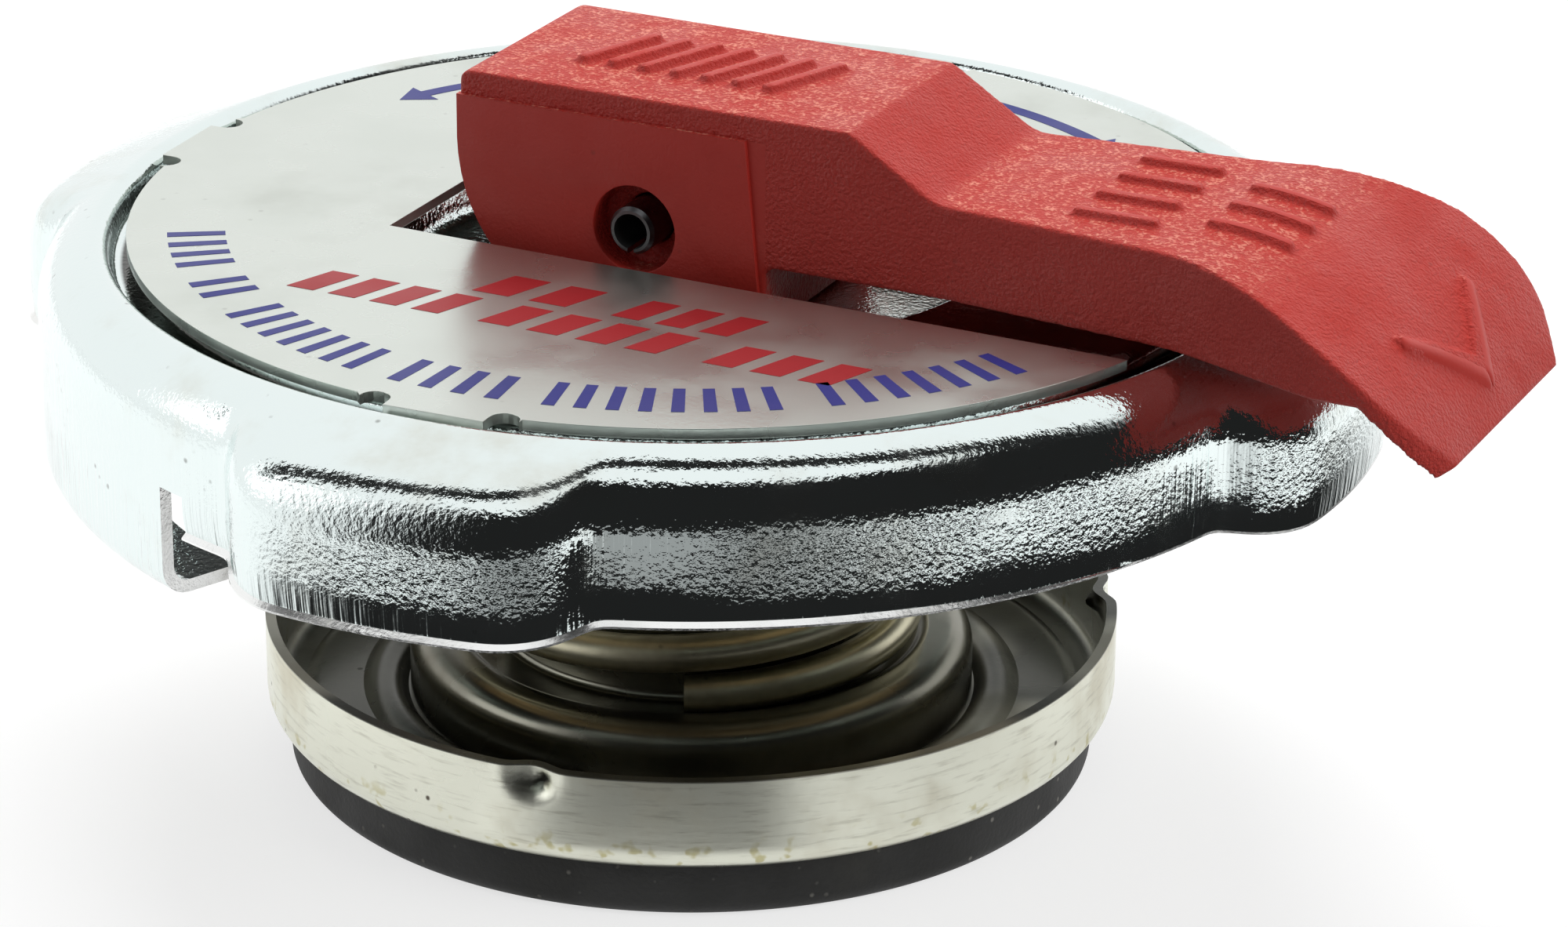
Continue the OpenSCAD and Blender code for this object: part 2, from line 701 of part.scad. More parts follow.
// Plan of the lever: straight hub, arm that widens a little, broad paddle with rounded corners
module lever_plan() {
  widest = bend_x + 0.57 * (tip_x - bend_x);
  narrowing = bend_x + 0.84 * (tip_x - bend_x);
  waist_r = 20;
  flare_r = 10;
  shoulder = 5;
  corner = 3.5;
  tip_corner = 0.6;
  edge = rounded([
    [-hub_back - over, hub_half, 0],
    [ramp_foot, hub_half, waist_r],
    [bend_x, arm_w / 2, flare_r],
    [widest, paddle_w / 2, shoulder],
    [narrowing, paddle_w / 2, corner],
    [tip_x, tip_w / 2, tip_corner],
    [tip_x, 0, 0]]);
  polygon(concat(edge, [for (p = reversed(edge)) [p[0], -p[1]]]));
}

// Low ribs across the hub, bars along the arm and an arrow on the paddle, as seen from above
module mark_plan() {
  hub_rib_l = 5;
  hub_rib_pitch = 1.6;
  lean = 20;
  bar_l = 4;
  bar_pitch = 2.6;
  for (k = [-3:3]) translate([hub_rib_pitch * k + 1, 0]) rotate(-lean)
    square([rib_w, hub_rib_l], center = true);
  for (k = [-1.5:1.5]) translate([bend_x - 3.8, bar_pitch * k]) square([bar_l, rib_w], center = true);
  for (k = [-1:1]) translate([bend_x + 2.1, bar_pitch * k]) square([bar_l, rib_w], center = true);
  arrow_tip = tip_x - 1;
  arrow_back = arrow_tip - 0.26 * arrow_w;
  stroke = 1.2 * rib_w;
  polygon([[arrow_tip, 0], [arrow_back, arrow_w / 2], [arrow_back - stroke, arrow_w / 2],
    [arrow_tip - stroke, 0], [arrow_back - stroke, -arrow_w / 2], [arrow_back, -arrow_w / 2]]);
}

// Part of the lever's side view, raised by the given height, that lies within a plan
module lever_body(rise) {
  intersection() {
    translate([0, 0, rise]) rotate([90, 0, 0]) linear_extrude(height = far, center = true)
      polygon(lever_side);
    translate([0, 0, -far / 2]) linear_extrude(height = far) children();
  }
}

// Core pockets under the arm, with one rib left along the middle
module lever_cores() {
  rib = 1.2;
  front = bend_x + 2;
  back = hub_front + core_wall + 0.9;
  depth = arm_top - core_wall - arm_under;
  for (side = [-1, 1]) translate([back, side > 0 ? rib / 2 : core_wall - hub_half, arm_under - over])
    cube([front - back, hub_half - core_wall - rib / 2, depth + over]);
}

module lever() {
  color([0.75, 0.16, 0.14]) translate([0, 0, z_pin]) difference() {
    union() {
      lever_body(0) lever_plan();
      lever_body(rib_h) mark_plan();
    }
    lever_cores();
    rotate([90, 0, 0]) cylinder(r = pin_r + running_fit, h = far, center = true);
    for (side = [-1, 1]) translate([0, side * hub_half, 0]) rotate([90, 0, 0])
      cylinder(r = counterbore_r, h = 2 * counterbore_depth, center = true);
    rotate([90, 0, 0]) cylinder(r = fork_clear_r, h = 2 * fork_half, center = true);
    translate([-far, -fork_half, -far]) cube([far + fork_half, 2 * fork_half, far + fork_half]);
  }
}

shell();
label_disc();
diaphragm_spring();
upper_gasket();
upper_spring_seat();
stem_seal();
seal_washer();
pressure_spring();
valve_ring();
lower_spring_seat();
lower_gasket();
gasket_retainer();
lift_stem();
stem_washer();
pivot_pin();
vacuum_disc();
vacuum_stem();
vacuum_spring();
vacuum_clip();
lever();
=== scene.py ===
# %% [markdown]
# # Dressing a radiator cap
# The cap is a stack of pressings on one axis, with a red moulded lever pinned across its top.
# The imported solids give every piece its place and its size. This lesson gives the pieces that show
# smoother meshes and real finishes, lights them in a small studio, and looks at them from the
# photograph's own point of view. The cap's sizes are in millimetres, and MM turns them into metres.

import math
from types import SimpleNamespace

import bmesh
import bpy
import numpy as np
from mathutils import Matrix, Vector


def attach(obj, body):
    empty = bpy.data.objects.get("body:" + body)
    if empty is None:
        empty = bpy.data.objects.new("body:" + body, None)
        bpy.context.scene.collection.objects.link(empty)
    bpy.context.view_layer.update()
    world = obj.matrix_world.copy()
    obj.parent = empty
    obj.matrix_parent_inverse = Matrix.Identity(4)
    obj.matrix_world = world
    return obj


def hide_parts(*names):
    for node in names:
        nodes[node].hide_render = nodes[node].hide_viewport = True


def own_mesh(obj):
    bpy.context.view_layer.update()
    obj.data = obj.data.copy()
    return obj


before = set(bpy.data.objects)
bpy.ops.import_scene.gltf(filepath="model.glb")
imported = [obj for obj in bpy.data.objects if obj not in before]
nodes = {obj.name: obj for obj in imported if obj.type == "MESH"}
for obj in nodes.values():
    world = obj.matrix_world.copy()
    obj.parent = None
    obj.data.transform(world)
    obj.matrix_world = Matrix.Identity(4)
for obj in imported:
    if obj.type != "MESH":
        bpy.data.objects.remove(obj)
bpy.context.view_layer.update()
scene = bpy.context.scene
MM = 0.001

# %% [markdown]
# ## The camera
# The photograph was taken from a little above, with a long lens. The ellipses of the label and of
# the valve ring give the height of the camera, and the pin's place gives its direction. A tracking
# constraint could aim the camera, but it wouldn't keep the photograph's small roll, so the camera's
# three axes are written as a matrix.


# %% Camera at the photograph's angle
def placed(name, data):
    obj = bpy.data.objects.new(name, data)
    scene.collection.objects.link(obj)
    return obj


photo_width, focal_px, sensor_mm = 2000, 6940.8, 36
elevation, azimuth, roll = (math.radians(a) for a in (22.36, 25.78, 0.49))
distance, aim_right, aim_up = 260 * MM, 4.4 * MM, 14.45 * MM
right = Vector((math.cos(azimuth), math.sin(azimuth), 0))
ahead = Vector((-math.sin(azimuth), math.cos(azimuth), 0))
back = Vector((0, 0, math.sin(elevation))) - math.cos(elevation) * ahead
up = back.cross(right)
side_axis = math.cos(roll) * right + math.sin(roll) * up
up_axis = math.cos(roll) * up - math.sin(roll) * right
lens = bpy.data.cameras.new("photo_camera")
lens.sensor_width = sensor_mm
lens.lens = focal_px / photo_width * sensor_mm
lens.clip_start, lens.clip_end = 0.01, 20
camera = placed("photo_camera", lens)
place = Matrix((side_axis, up_axis, back)).transposed().to_4x4()
place.translation = aim_right * right + Vector((0, 0, aim_up)) + distance * back
camera.matrix_world = place
scene.camera = camera
print("lens", round(lens.lens, 1), "mm, camera at", [round(v, 3) for v in place.translation])

# %% [markdown]
# ## Node groups for marks that several finishes share
# Bright plating, dull steel, red plastic and rubber all have a fine grain, and all have been handled.
# Each material could draw both for itself, but then a change would have to be made many times over.
# So both effects are groups, built once and placed in each material with its own values. They put
# out only numbers and colours that change over the surface. The shader stays in the material.


# %% Groups and sums of nodes
def new_group(name, inputs, outputs):
    tree = bpy.data.node_groups.new(name, "ShaderNodeTree")
    for label, kind, value in inputs:
        socket = tree.interface.new_socket(name=label, in_out="INPUT", socket_type=kind)
        socket.default_value = value
    for label, kind in outputs:
        tree.interface.new_socket(name=label, in_out="OUTPUT", socket_type=kind)
    return tree, tree.nodes.new("NodeGroupInput"), tree.nodes.new("NodeGroupOutput")


def feed(tree, socket, value):
    if isinstance(value, bpy.types.NodeSocket):
        tree.links.new(value, socket)
    else:
        socket.default_value = value


def math_node(tree, operation, *values, clamp=False):
    node = tree.nodes.new("ShaderNodeMath")
    node.operation = operation
    node.use_clamp = clamp
    for socket, value in zip(node.inputs, values):
        feed(tree, socket, value)
    return node.outputs[0]


def product(tree, value, *factors):
    for factor in factors:
        value = math_node(tree, "MULTIPLY", value, factor)
    return value


print("sums ready")


# %% Noise and mixed colours
def noise(tree, vector, scale, detail=2.0, rough=0.5):
    node = tree.nodes.new("ShaderNodeTexNoise")
    tree.links.new(vector, node.inputs["Vector"])
    feed(tree, node.inputs["Scale"], scale)
    node.inputs["Detail"].default_value = detail
    node.inputs["Roughness"].default_value = rough
    return node.outputs["Fac"]


def mix_colour(tree, factor, first, second):
    node = tree.nodes.new("ShaderNodeMix")
    node.data_type = "RGBA"
    for place, value in ((0, factor), (6, first), (7, second)):
        feed(tree, node.inputs[place], value)
    return node.outputs[2]


print("noise and colours ready")


# %% Soft steps from one value to another
def span(tree, value, low, high, start=0.0, end=1.0):
    node = tree.nodes.new("ShaderNodeMapRange")
    node.interpolation_type = "SMOOTHSTEP"
    tree.links.new(value, node.inputs["Value"])
    limits = (("From Min", low), ("From Max", high), ("To Min", start), ("To Max", end))
    for label, number in limits:
        node.inputs[label].default_value = number
    return node.outputs["Result"]


def span_mm(tree, value, low, high, *ends):
    return span(tree, value, low * MM, high * MM, *ends)


def span_degrees(tree, value, low, high, *ends):
    return span(tree, value, math.radians(low), math.radians(high), *ends)


print("soft steps ready")


# %% Where a point is: along the axes, round the cap's axis and away from it
def object_place(tree):
    return tree.nodes.new("ShaderNodeTexCoord").outputs["Object"]


def object_xyz(tree):
    split = tree.nodes.new("ShaderNodeSeparateXYZ")
    tree.links.new(object_place(tree), split.inputs[0])
    return [split.outputs[axis] for axis in "XYZ"]


def turn_about(tree, x, y):
    return math_node(tree, "ARCTAN2", y, x)


def off_axis(tree, x, y):
    squares = [math_node(tree, "POWER", value, 2.0) for value in (x, y)]
    return math_node(tree, "SQRT", math_node(tree, "ADD", *squares))


def lined(tree, turn, z, per_radian, per_metre, detail):
    join = tree.nodes.new("ShaderNodeCombineXYZ")
    tree.links.new(product(tree, turn, per_radian), join.inputs[0])
    tree.links.new(product(tree, z, per_metre), join.inputs[1])
    return noise(tree, join.outputs[0], 1.0, detail, 0.6)


print("place helpers ready")

# %% Group: surface grain
grain, grain_in, grain_out = new_group(
    "surface_grain",
    [("Fineness", "NodeSocketFloat", 2000.0), ("Coarse Share", "NodeSocketFloat", 0.3)],
    [("Height", "NodeSocketFloat"), ("Patches", "NodeSocketFloat")],
)
coarse_scale, broad_scale = 0.3, 0.05
spot, fineness = object_place(grain), grain_in.outputs["Fineness"]
fine = noise(grain, spot, fineness, 2.0, 0.55)
coarse = noise(grain, spot, product(grain, fineness, coarse_scale), 1.0)
broad = noise(grain, spot, product(grain, fineness, broad_scale), 3.0)
weighted = product(grain, coarse, grain_in.outputs["Coarse Share"])
grain.links.new(math_node(grain, "ADD", fine, weighted), grain_out.inputs["Height"])
grain.links.new(span(grain, broad, 0.3, 0.7), grain_out.inputs["Patches"])
print("group", grain.name)

# %% Group: handling marks
marks, marks_in, marks_out = new_group(
    "handling_marks",
    [
        ("Colour", "NodeSocketColor", (0.5, 0.5, 0.5, 1)),
        ("Stain", "NodeSocketColor", (0.3, 0.2, 0.1, 1)),
        ("Stain Share", "NodeSocketFloat", 0.3),
        ("Speck", "NodeSocketColor", (0.05, 0.03, 0.02, 1)),
        ("Speck Share", "NodeSocketFloat", 0.5),
        ("Speck Fineness", "NodeSocketFloat", 900.0),
        ("Speck Spread", "NodeSocketFloat", 0.0),
    ],
    [("Colour", "NodeSocketColor"), ("Dirt", "NodeSocketFloat")],
)
cloud_fineness, scatter_fineness = 110.0, 420.0
spot = object_place(marks)
cloud = noise(marks, spot, cloud_fineness, 5.0, 0.62)
stain = product(marks, span(marks, cloud, 0.5, 0.74), marks_in.outputs["Stain Share"])
cells = marks.nodes.new("ShaderNodeTexVoronoi")
marks.links.new(spot, cells.inputs["Vector"])
marks.links.new(marks_in.outputs["Speck Fineness"], cells.inputs["Scale"])
dot = span(marks, cells.outputs["Distance"], 0.16, 0.05)
scatter = noise(marks, spot, scatter_fineness, 2.0)
strewn = math_node(marks, "ADD", scatter, marks_in.outputs["Speck Spread"])
speck = product(marks, dot, span(marks, strewn, 0.55, 0.64), marks_in.outputs["Speck Share"])
stained = mix_colour(marks, stain, marks_in.outputs["Colour"], marks_in.outputs["Stain"])
dotted = mix_colour(marks, speck, stained, marks_in.outputs["Speck"])
marks.links.new(dotted, marks_out.inputs["Colour"])
marks.links.new(math_node(marks, "ADD", stain, speck, clamp=True), marks_out.inputs["Dirt"])
print("group", marks.name)

# %% [markdown]
# ## Finishes
# A finish is a Principled shader with a little of the two groups. What is the same all over, such as
# metalness, is set on the shader's socket. What changes over the surface is linked. One function lays
# down the common part and hands back its nodes, so each material below can add what is its own.

# %% A finish from the two groups
stain_share, dirt_dulls = 0.6, 0.25


def new_material(name):
    material = bpy.data.materials.new(name)
    material.use_nodes = True
    return material, material.node_tree


def finish(
    name, colour, rough, grain_mm, stain, metallic=1.0, bump_mm=0.006,
    specks=0.0, rough_spread=0.1, coarse_share=0.3,
):
    material, tree = new_material(name)
    shader = tree.nodes["Principled BSDF"]
    shader.inputs["Metallic"].default_value = metallic
    texture = tree.nodes.new("ShaderNodeGroup")
    texture.node_tree = grain
    texture.inputs["Fineness"].default_value = 1 / (grain_mm * MM)
    texture.inputs["Coarse Share"].default_value = coarse_share
    worn = tree.nodes.new("ShaderNodeGroup")
    worn.node_tree = marks
    worn.inputs["Colour"].default_value = (*colour, 1)
    worn.inputs["Stain"].default_value = (*stain, 1)
    worn.inputs["Stain Share"].default_value = stain_share
    worn.inputs["Speck Share"].default_value = specks
    tree.links.new(worn.outputs["Colour"], shader.inputs["Base Color"])
    low, high = rough - rough_spread / 2, rough + rough_spread / 2
    uneven = span(tree, texture.outputs["Patches"], 0, 1, low, high)
    dulled = product(tree, worn.outputs["Dirt"], dirt_dulls)
    tree.links.new(math_node(tree, "ADD", uneven, dulled, clamp=True), shader.inputs["Roughness"])
    bump = tree.nodes.new("ShaderNodeBump")
    bump.inputs["Distance"].default_value = bump_mm * MM
    tree.links.new(texture.outputs["Height"], bump.inputs["Height"])
    tree.links.new(bump.outputs["Normal"], shader.inputs["Normal"])
    return SimpleNamespace(
        material=material, tree=tree, shader=shader, texture=texture, worn=worn, bump=bump
    )


print("finish() ready")

# %% [markdown]
# ### Plating on the shell
# The shell is pressed steel with bright zinc on it. The plating follows the steel's orange-peel skin,
# so reflections on the skirt break up into small grains, while the crown is calmer. Along the lower
# edge and beside the lobes the drawing die has left fine upright lines. They could be cut into the
# mesh, but they are far thinner than its faces, so they are noise stretched along the height, which
# takes the grain's place where the die has dragged. The cut edges get a plainer finish.

# %% Plating: where the die has dragged
shell_turn = 2.6
coat = finish(
    "bright_plating", colour=(0.81, 0.89, 0.88), rough=0.07, grain_mm=0.26,
    bump_mm=0.044, stain=(0.66, 0.66, 0.58), specks=0.5, rough_spread=0.05, coarse_share=0.5,
)
plating, tree = coat.material, coat.tree
x, y, z = object_xyz(tree)
turn, reach = turn_about(tree, x, y), off_axis(tree, x, y)
near_foot = span_mm(tree, z, 21.4, 19.6)
in_patches = span(tree, noise(tree, object_place(tree), 130.0, 1.0), 0.55, 0.68, 0.0, 0.6)
lobe_turn = math_node(tree, "SUBTRACT", turn, math.radians(shell_turn))
from_lobe = math_node(tree, "PINGPONG", lobe_turn, math.radians(45))
near_lobe = span_degrees(tree, from_lobe, 32, 20)
past_lobe = span_degrees(tree, from_lobe, 12, 16, 0.0, 0.85)
dragged = math_node(tree, "MAXIMUM", in_patches, product(tree, near_lobe, past_lobe))
on_wall = product(tree, dragged, span_mm(tree, z, 24.4, 23.6))
on_outside = span_mm(tree, reach, 29.2, 29.8)
dragged = product(tree, math_node(tree, "MAXIMUM", near_foot, on_wall), on_outside)
print("plating has", len(tree.nodes), "nodes so far")

# %% Plating: grain, drawn lines, and grime with painted shade in the moat round the label
line_height, crown_grain, dragged_grain = 2.4, 0.45, 0.2
moat_grime_and_shade = (0.05, 0.05, 0.045, 1)
lines = lined(tree, turn, z, 90.0, 120.0, 2.0)
drawn = product(tree, lines, dragged, line_height)
on_crown = span_mm(tree, z, 25.6, 24.2, crown_grain, 1.0)
under_lines = span(tree, dragged, 0.0, 1.0, 1.0, dragged_grain)
peel = product(tree, coat.texture.outputs["Height"], on_crown, under_lines)
tree.links.new(math_node(tree, "ADD", peel, drawn), coat.bump.inputs["Height"])
# The moat's floor is painted dark: partly grime, partly painted shade under the label's edge.
in_moat = product(tree, span_mm(tree, reach, 25.1, 25.4), span_mm(tree, reach, 26.8, 26.55))
at_floor = product(tree, span_mm(tree, z, 25.9, 25.6), span_mm(tree, z, 24.9, 25.0))
grime_and_shade = product(tree, in_moat, at_floor)
plated = mix_colour(tree, grime_and_shade, coat.worn.outputs["Colour"], moat_grime_and_shade)
tree.links.new(plated, coat.shader.inputs["Base Color"])
print("plating ready")

# %% Bare cut edges of the pressings
cut_edge = finish(
    "cut_edge", colour=(0.9, 0.91, 0.9), rough=0.2, grain_mm=0.2, bump_mm=0.01,
    stain=(0.66, 0.64, 0.58),
).material
print("cut edge ready")

# %% [markdown]
# ### Metals under the shell
# The ring is satin stainless steel, brushed round its axis, with straw-coloured stains near its foot.
# Its inside and the top of its cut edge are painted dark, as painted shade under the shell, with pale
# patches of painted reflection. The domed seat is darker and more polished, the spring has the colour
# of tempered wire, and the pin is blackened. The brushing is noise squeezed along the height: it needs
# no unwrapped surface, because the angle round the axis does the same work.

# %% Ring steel
ring_coat = finish(
    "ring_steel", colour=(0.78, 0.79, 0.68), rough=0.3, grain_mm=0.5,
    stain=(0.6, 0.55, 0.42), specks=0.9,
)
ring_steel, tree = ring_coat.material, ring_coat.tree
brush_dark, straw = (0.42, 0.41, 0.33, 1), (0.4, 0.34, 0.06, 1)
shade_dark, reflection_pale = (0.07, 0.07, 0.06, 1), (0.34, 0.33, 0.28, 1)
x, y, z = object_xyz(tree)
brushed = lined(tree, turn_about(tree, x, y), z, 9.0, 3600.0, 3.0)
height = math_node(tree, "ADD", ring_coat.texture.outputs["Height"], brushed)
tree.links.new(height, ring_coat.bump.inputs["Height"])
dark_lines = span(tree, brushed, 0.5, 0.75, 0.0, 0.5)
streaked = mix_colour(tree, dark_lines, ring_coat.worn.outputs["Colour"], brush_dark)
spotted = span(tree, noise(tree, object_place(tree), 900.0, 2.0, 0.6), 0.58, 0.68, 0.0, 0.6)
streaked = mix_colour(tree, product(tree, spotted, span_mm(tree, z, 4.9, 3.6)), streaked, straw)
# The inside and the top of the cut edge are painted dark as painted shade under the shell, with pale
# patches of painted reflection.
inner_side, top_edge = span_mm(tree, off_axis(tree, x, y), 20.25, 19.6), span_mm(tree, z, 7.3, 7.37)
within = math_node(tree, "MAXIMUM", inner_side, top_edge)
reflection_patches = span(tree, noise(tree, object_place(tree), 95.0, 2.0), 0.5, 0.66)
inside = mix_colour(tree, reflection_patches, shade_dark, reflection_pale)
whole = mix_colour(tree, within, streaked, inside)
tree.links.new(whole, ring_coat.shader.inputs["Base Color"])
print("ring steel ready")

# %% Dome, wire, pin and the hidden metals
dome_steel = finish(
    "dome_steel", colour=(0.24, 0.235, 0.195), rough=0.24, grain_mm=0.6,
    stain=(0.15, 0.125, 0.09), specks=0.4,
).material
spring_wire = finish(
    "spring_wire", colour=(0.72, 0.68, 0.5), rough=0.36, grain_mm=0.3,
    stain=(0.2, 0.15, 0.09), specks=0.3,
).material
pin_steel = finish(
    "pin_steel", colour=(0.11, 0.11, 0.115), rough=0.3, grain_mm=0.2,
    stain=(0.06, 0.055, 0.05),
).material
# The bore's faces are painted near black: painted shade inside the rolled tube.
pin_bore = finish(
    "pin_bore", colour=(0.012, 0.012, 0.012), metallic=0.0, rough=0.7, grain_mm=0.2,
    stain=(0.03, 0.026, 0.022),
).material
plain_steel = finish(
    "plain_steel", colour=(0.56, 0.56, 0.54), rough=0.34, grain_mm=0.5,
    stain=(0.4, 0.36, 0.3), specks=0.4,
).material
bronze = finish(
    "spring_bronze", colour=(0.55, 0.42, 0.24), rough=0.3, grain_mm=0.5,
    bump_mm=0.005, stain=(0.35, 0.22, 0.1), specks=0.3,
).material
brass = finish(
    "vacuum_brass", colour=(0.68, 0.5, 0.2), rough=0.3, grain_mm=0.5,
    bump_mm=0.005, stain=(0.4, 0.26, 0.1), specks=0.3,
).material
print("metals ready")

# %% [markdown]
# ### Rubber
# Moulded rubber is nearly black and picks up dust, so its specks are pale where those on the metals
# are dark. The dust could be tiny meshes, but the group already draws dots, so only their colour,
# their size and their spread are changed.

# %% Rubber
seal_coat = finish(
    "seal_rubber", colour=(0.02, 0.02, 0.019), metallic=0.0, rough=0.66, grain_mm=0.25,
    bump_mm=0.03, stain=(0.085, 0.083, 0.075), specks=0.7,
)
rubber = seal_coat.material
seal_coat.worn.inputs["Speck"].default_value = (0.34, 0.33, 0.3, 1)
seal_coat.worn.inputs["Speck Fineness"].default_value = 1000.0
seal_coat.worn.inputs["Speck Spread"].default_value = 0.09
print("rubber ready")

# %% [markdown]
# ### Label and its print
# The label is satin aluminium. Its print could be painted by a texture, but here it is a set of thin
# plain bars and arrows, each a closed film on the metal, because a shape made of faces stays crisp at
# any distance.

# %% Label metal and inks
label_metal = finish(
    "label_metal", colour=(0.70, 0.74, 0.69), metallic=0.9, rough=0.3, grain_mm=0.3,
    bump_mm=0.004, stain=(0.66, 0.69, 0.64), specks=0.15,
).material
red_ink = finish(
    "red_ink", colour=(0.32, 0.012, 0.016), metallic=0.0, rough=0.45, grain_mm=0.3,
    bump_mm=0.004, stain=(0.24, 0.02, 0.022),
).material
blue_ink = finish(
    "blue_ink", colour=(0.016, 0.02, 0.18), metallic=0.0, rough=0.45, grain_mm=0.3,
    bump_mm=0.004, stain=(0.03, 0.035, 0.16),
).material
print("label finishes ready")

# %% [markdown]
# ### Red plastic
# The lever is moulded in red plastic with a spark-eroded texture, apart from a smooth panel on each
# side of its hub, where a second slide of the mould closed. Two materials could meet at the panel's
# edge, but one with the texture's height held back there keeps the same red. On faces that look up,
# the tips of the texture are painted pale, as painted glints of light on the grain.

# %% Lever plastic
red, red_stain, glint_red = (0.51, 0.036, 0.026), (0.45, 0.03, 0.021), (0.92, 0.36, 0.26, 1)
panel_y, panel_x, panel_top, panel_smooth = 5.6, 6.6, 33.3, 0.85
lever_coat = finish(
    "lever_red", colour=red, metallic=0.0, rough=0.46, grain_mm=0.18, bump_mm=0.16,
    stain=red_stain, specks=0.25, rough_spread=0.12, coarse_share=0.4,
)
lever_red, tree = lever_coat.material, lever_coat.tree
lever_coat.shader.inputs["Specular IOR Level"].default_value = 0.45
x, y, z = object_xyz(tree)
outside = math_node(tree, "GREATER_THAN", math_node(tree, "ABSOLUTE", y), panel_y * MM)
behind = math_node(tree, "LESS_THAN", x, panel_x * MM)
below = math_node(tree, "LESS_THAN", z, panel_top * MM)
panel = product(tree, outside, behind, below)
textured = math_node(tree, "SUBTRACT", 1.0, product(tree, panel, panel_smooth))
spark = lever_coat.texture.outputs["Height"]
tree.links.new(product(tree, spark, textured), lever_coat.bump.inputs["Height"])
# Painted glints: on faces that look up, the texture's tips are painted pale orange.
normal = tree.nodes.new("ShaderNodeSeparateXYZ")
tree.links.new(tree.nodes.new("ShaderNodeTexCoord").outputs["Normal"], normal.inputs[0])
facing_up = span(tree, normal.outputs["Z"], 0.93, 0.998)
painted_glints = product(tree, span(tree, spark, 0.66, 0.95, 0.0, 0.8), facing_up)
glinted = mix_colour(tree, painted_glints, lever_coat.worn.outputs["Colour"], glint_red)
tree.links.new(glinted, lever_coat.shader.inputs["Base Color"])
mark_red = finish(
    "mark_red", colour=red, metallic=0.0, rough=0.42, grain_mm=0.18, bump_mm=0.012,
    stain=red_stain, specks=0.2,
).material
print("lever plastic ready")

# %% [markdown]
# ## Shapes of pressed sheet
# A press bends flat sheet round the edges of its tools, so a pressing has one thickness and a radius
# at every bend. Bevels could round a plain section, but its two sides wouldn't keep their distance.
# So a section starts as a path in the plane of radius and height, with a bend radius at each corner,
# and the same path moved sideways by the sheet's thickness gives the other face.


# %% Bent paths
def bent(path, steps=8):
    points = []
    for k, (x, z, r) in enumerate(path):
        if r <= 0 or k in (0, len(path) - 1):
            points.append((x, z))
            continue
        b = np.array((x, z))
        u = np.array(path[k - 1][:2]) - b
        v = np.array(path[k + 1][:2]) - b
        u, v = u / np.linalg.norm(u), v / np.linalg.norm(v)
        half = math.acos(np.clip(u @ v, -1, 1)) / 2
        centre = b + (u + v) / np.linalg.norm(u + v) * r / math.sin(half)
        start, end = (b + side * r / math.tan(half) - centre for side in (u, v))
        sweep = math.pi - 2 * half
        for i in range(steps + 1):
            t = i / steps
            arm = math.sin(sweep * (1 - t)) * start + math.sin(sweep * t) * end
            points.append(tuple(centre + arm / math.sin(sweep)))
    return points


print("bends ready")


# %% The other face of the sheet, and its whole section
def beside(path, t):
    moved = []
    last = len(path) - 1
    for k, (x, z, r) in enumerate(path):
        i, j = max(k, 1), min(k + 1, last)
        d1 = np.subtract(path[i][:2], path[i - 1][:2])
        d2 = np.subtract(path[j][:2], path[j - 1][:2])
        d1, d2 = d1 / np.linalg.norm(d1), d2 / np.linalg.norm(d2)
        n1, n2 = np.array((-d1[1], d1[0])), np.array((-d2[1], d2[0]))
        p = np.array((x, z)) + t * (n1 + n2) / (1 + n1 @ n2)
        sense = np.sign(d1[0] * d2[1] - d1[1] * d2[0])
        moved.append((p[0], p[1], r - t * sense if r > 0 else 0))
    return moved


def filled_in(points, longest):
    dense = [points[0]]
    for a, b in zip(points, points[1:]):
        count = max(1, math.ceil(math.dist(a, b) / longest))
        dense += [tuple(np.add(a, np.subtract(b, a) * i / count)) for i in range(1, count + 1)]
    return dense


def sheet_section(path, t, longest=1.2):
    return filled_in(bent(path), longest) + filled_in(bent(beside(path, t)), longest)[::-1]


print("sheet sections ready")


# %% Meshes from points in millimetres
def piece(name, points, faces, materials, sharp=35):
    mesh = bpy.data.meshes.new(name)
    mesh.from_pydata([tuple(c * MM for c in p) for p in points], [], faces)
    mesh.validate()
    obj = placed(name, mesh)
    for material in materials:
        mesh.materials.append(material)
    shade(obj, sharp)
    return obj


def shade(obj, sharp=35):
    obj.data.polygons.foreach_set("use_smooth", [True] * len(obj.data.polygons))
    obj.data.set_sharp_from_angle(angle=math.radians(sharp))


def reworked(obj, change):
    work = bmesh.new()
    work.from_mesh(obj.data)
    change(work)
    work.to_mesh(obj.data)
    work.free()


def facing(obj):
    reworked(obj, lambda work: bmesh.ops.recalc_face_normals(work, faces=work.faces))
    return obj


def settle(obj):
    graph = bpy.context.evaluated_depsgraph_get()
    mesh = bpy.data.meshes.new_from_object(obj.evaluated_get(graph))
    obj.modifiers.clear()
    obj.data = mesh


def joined(pieces):
    with bpy.context.temp_override(active_object=pieces[0], selected_editable_objects=pieces):
        bpy.ops.object.join()
    return pieces[0]


print("mesh tools ready")


# %% Skins over a row of sections, and sections turned about the axis
def polar(r, a):
    return r * math.cos(a), r * math.sin(a)


def skin(stations, count, closed=False):
    faces = []
    for k in range(stations if closed else stations - 1):
        n = (k + 1) % stations
        for i in range(count):
            j = (i + 1) % count
            faces.append((k * count + i, n * count + i, n * count + j, k * count + j))
    return faces


def end_caps(stations, count):
    last = (stations - 1) * count
    return [tuple(range(count)), tuple(last + i for i in range(count))[::-1]]


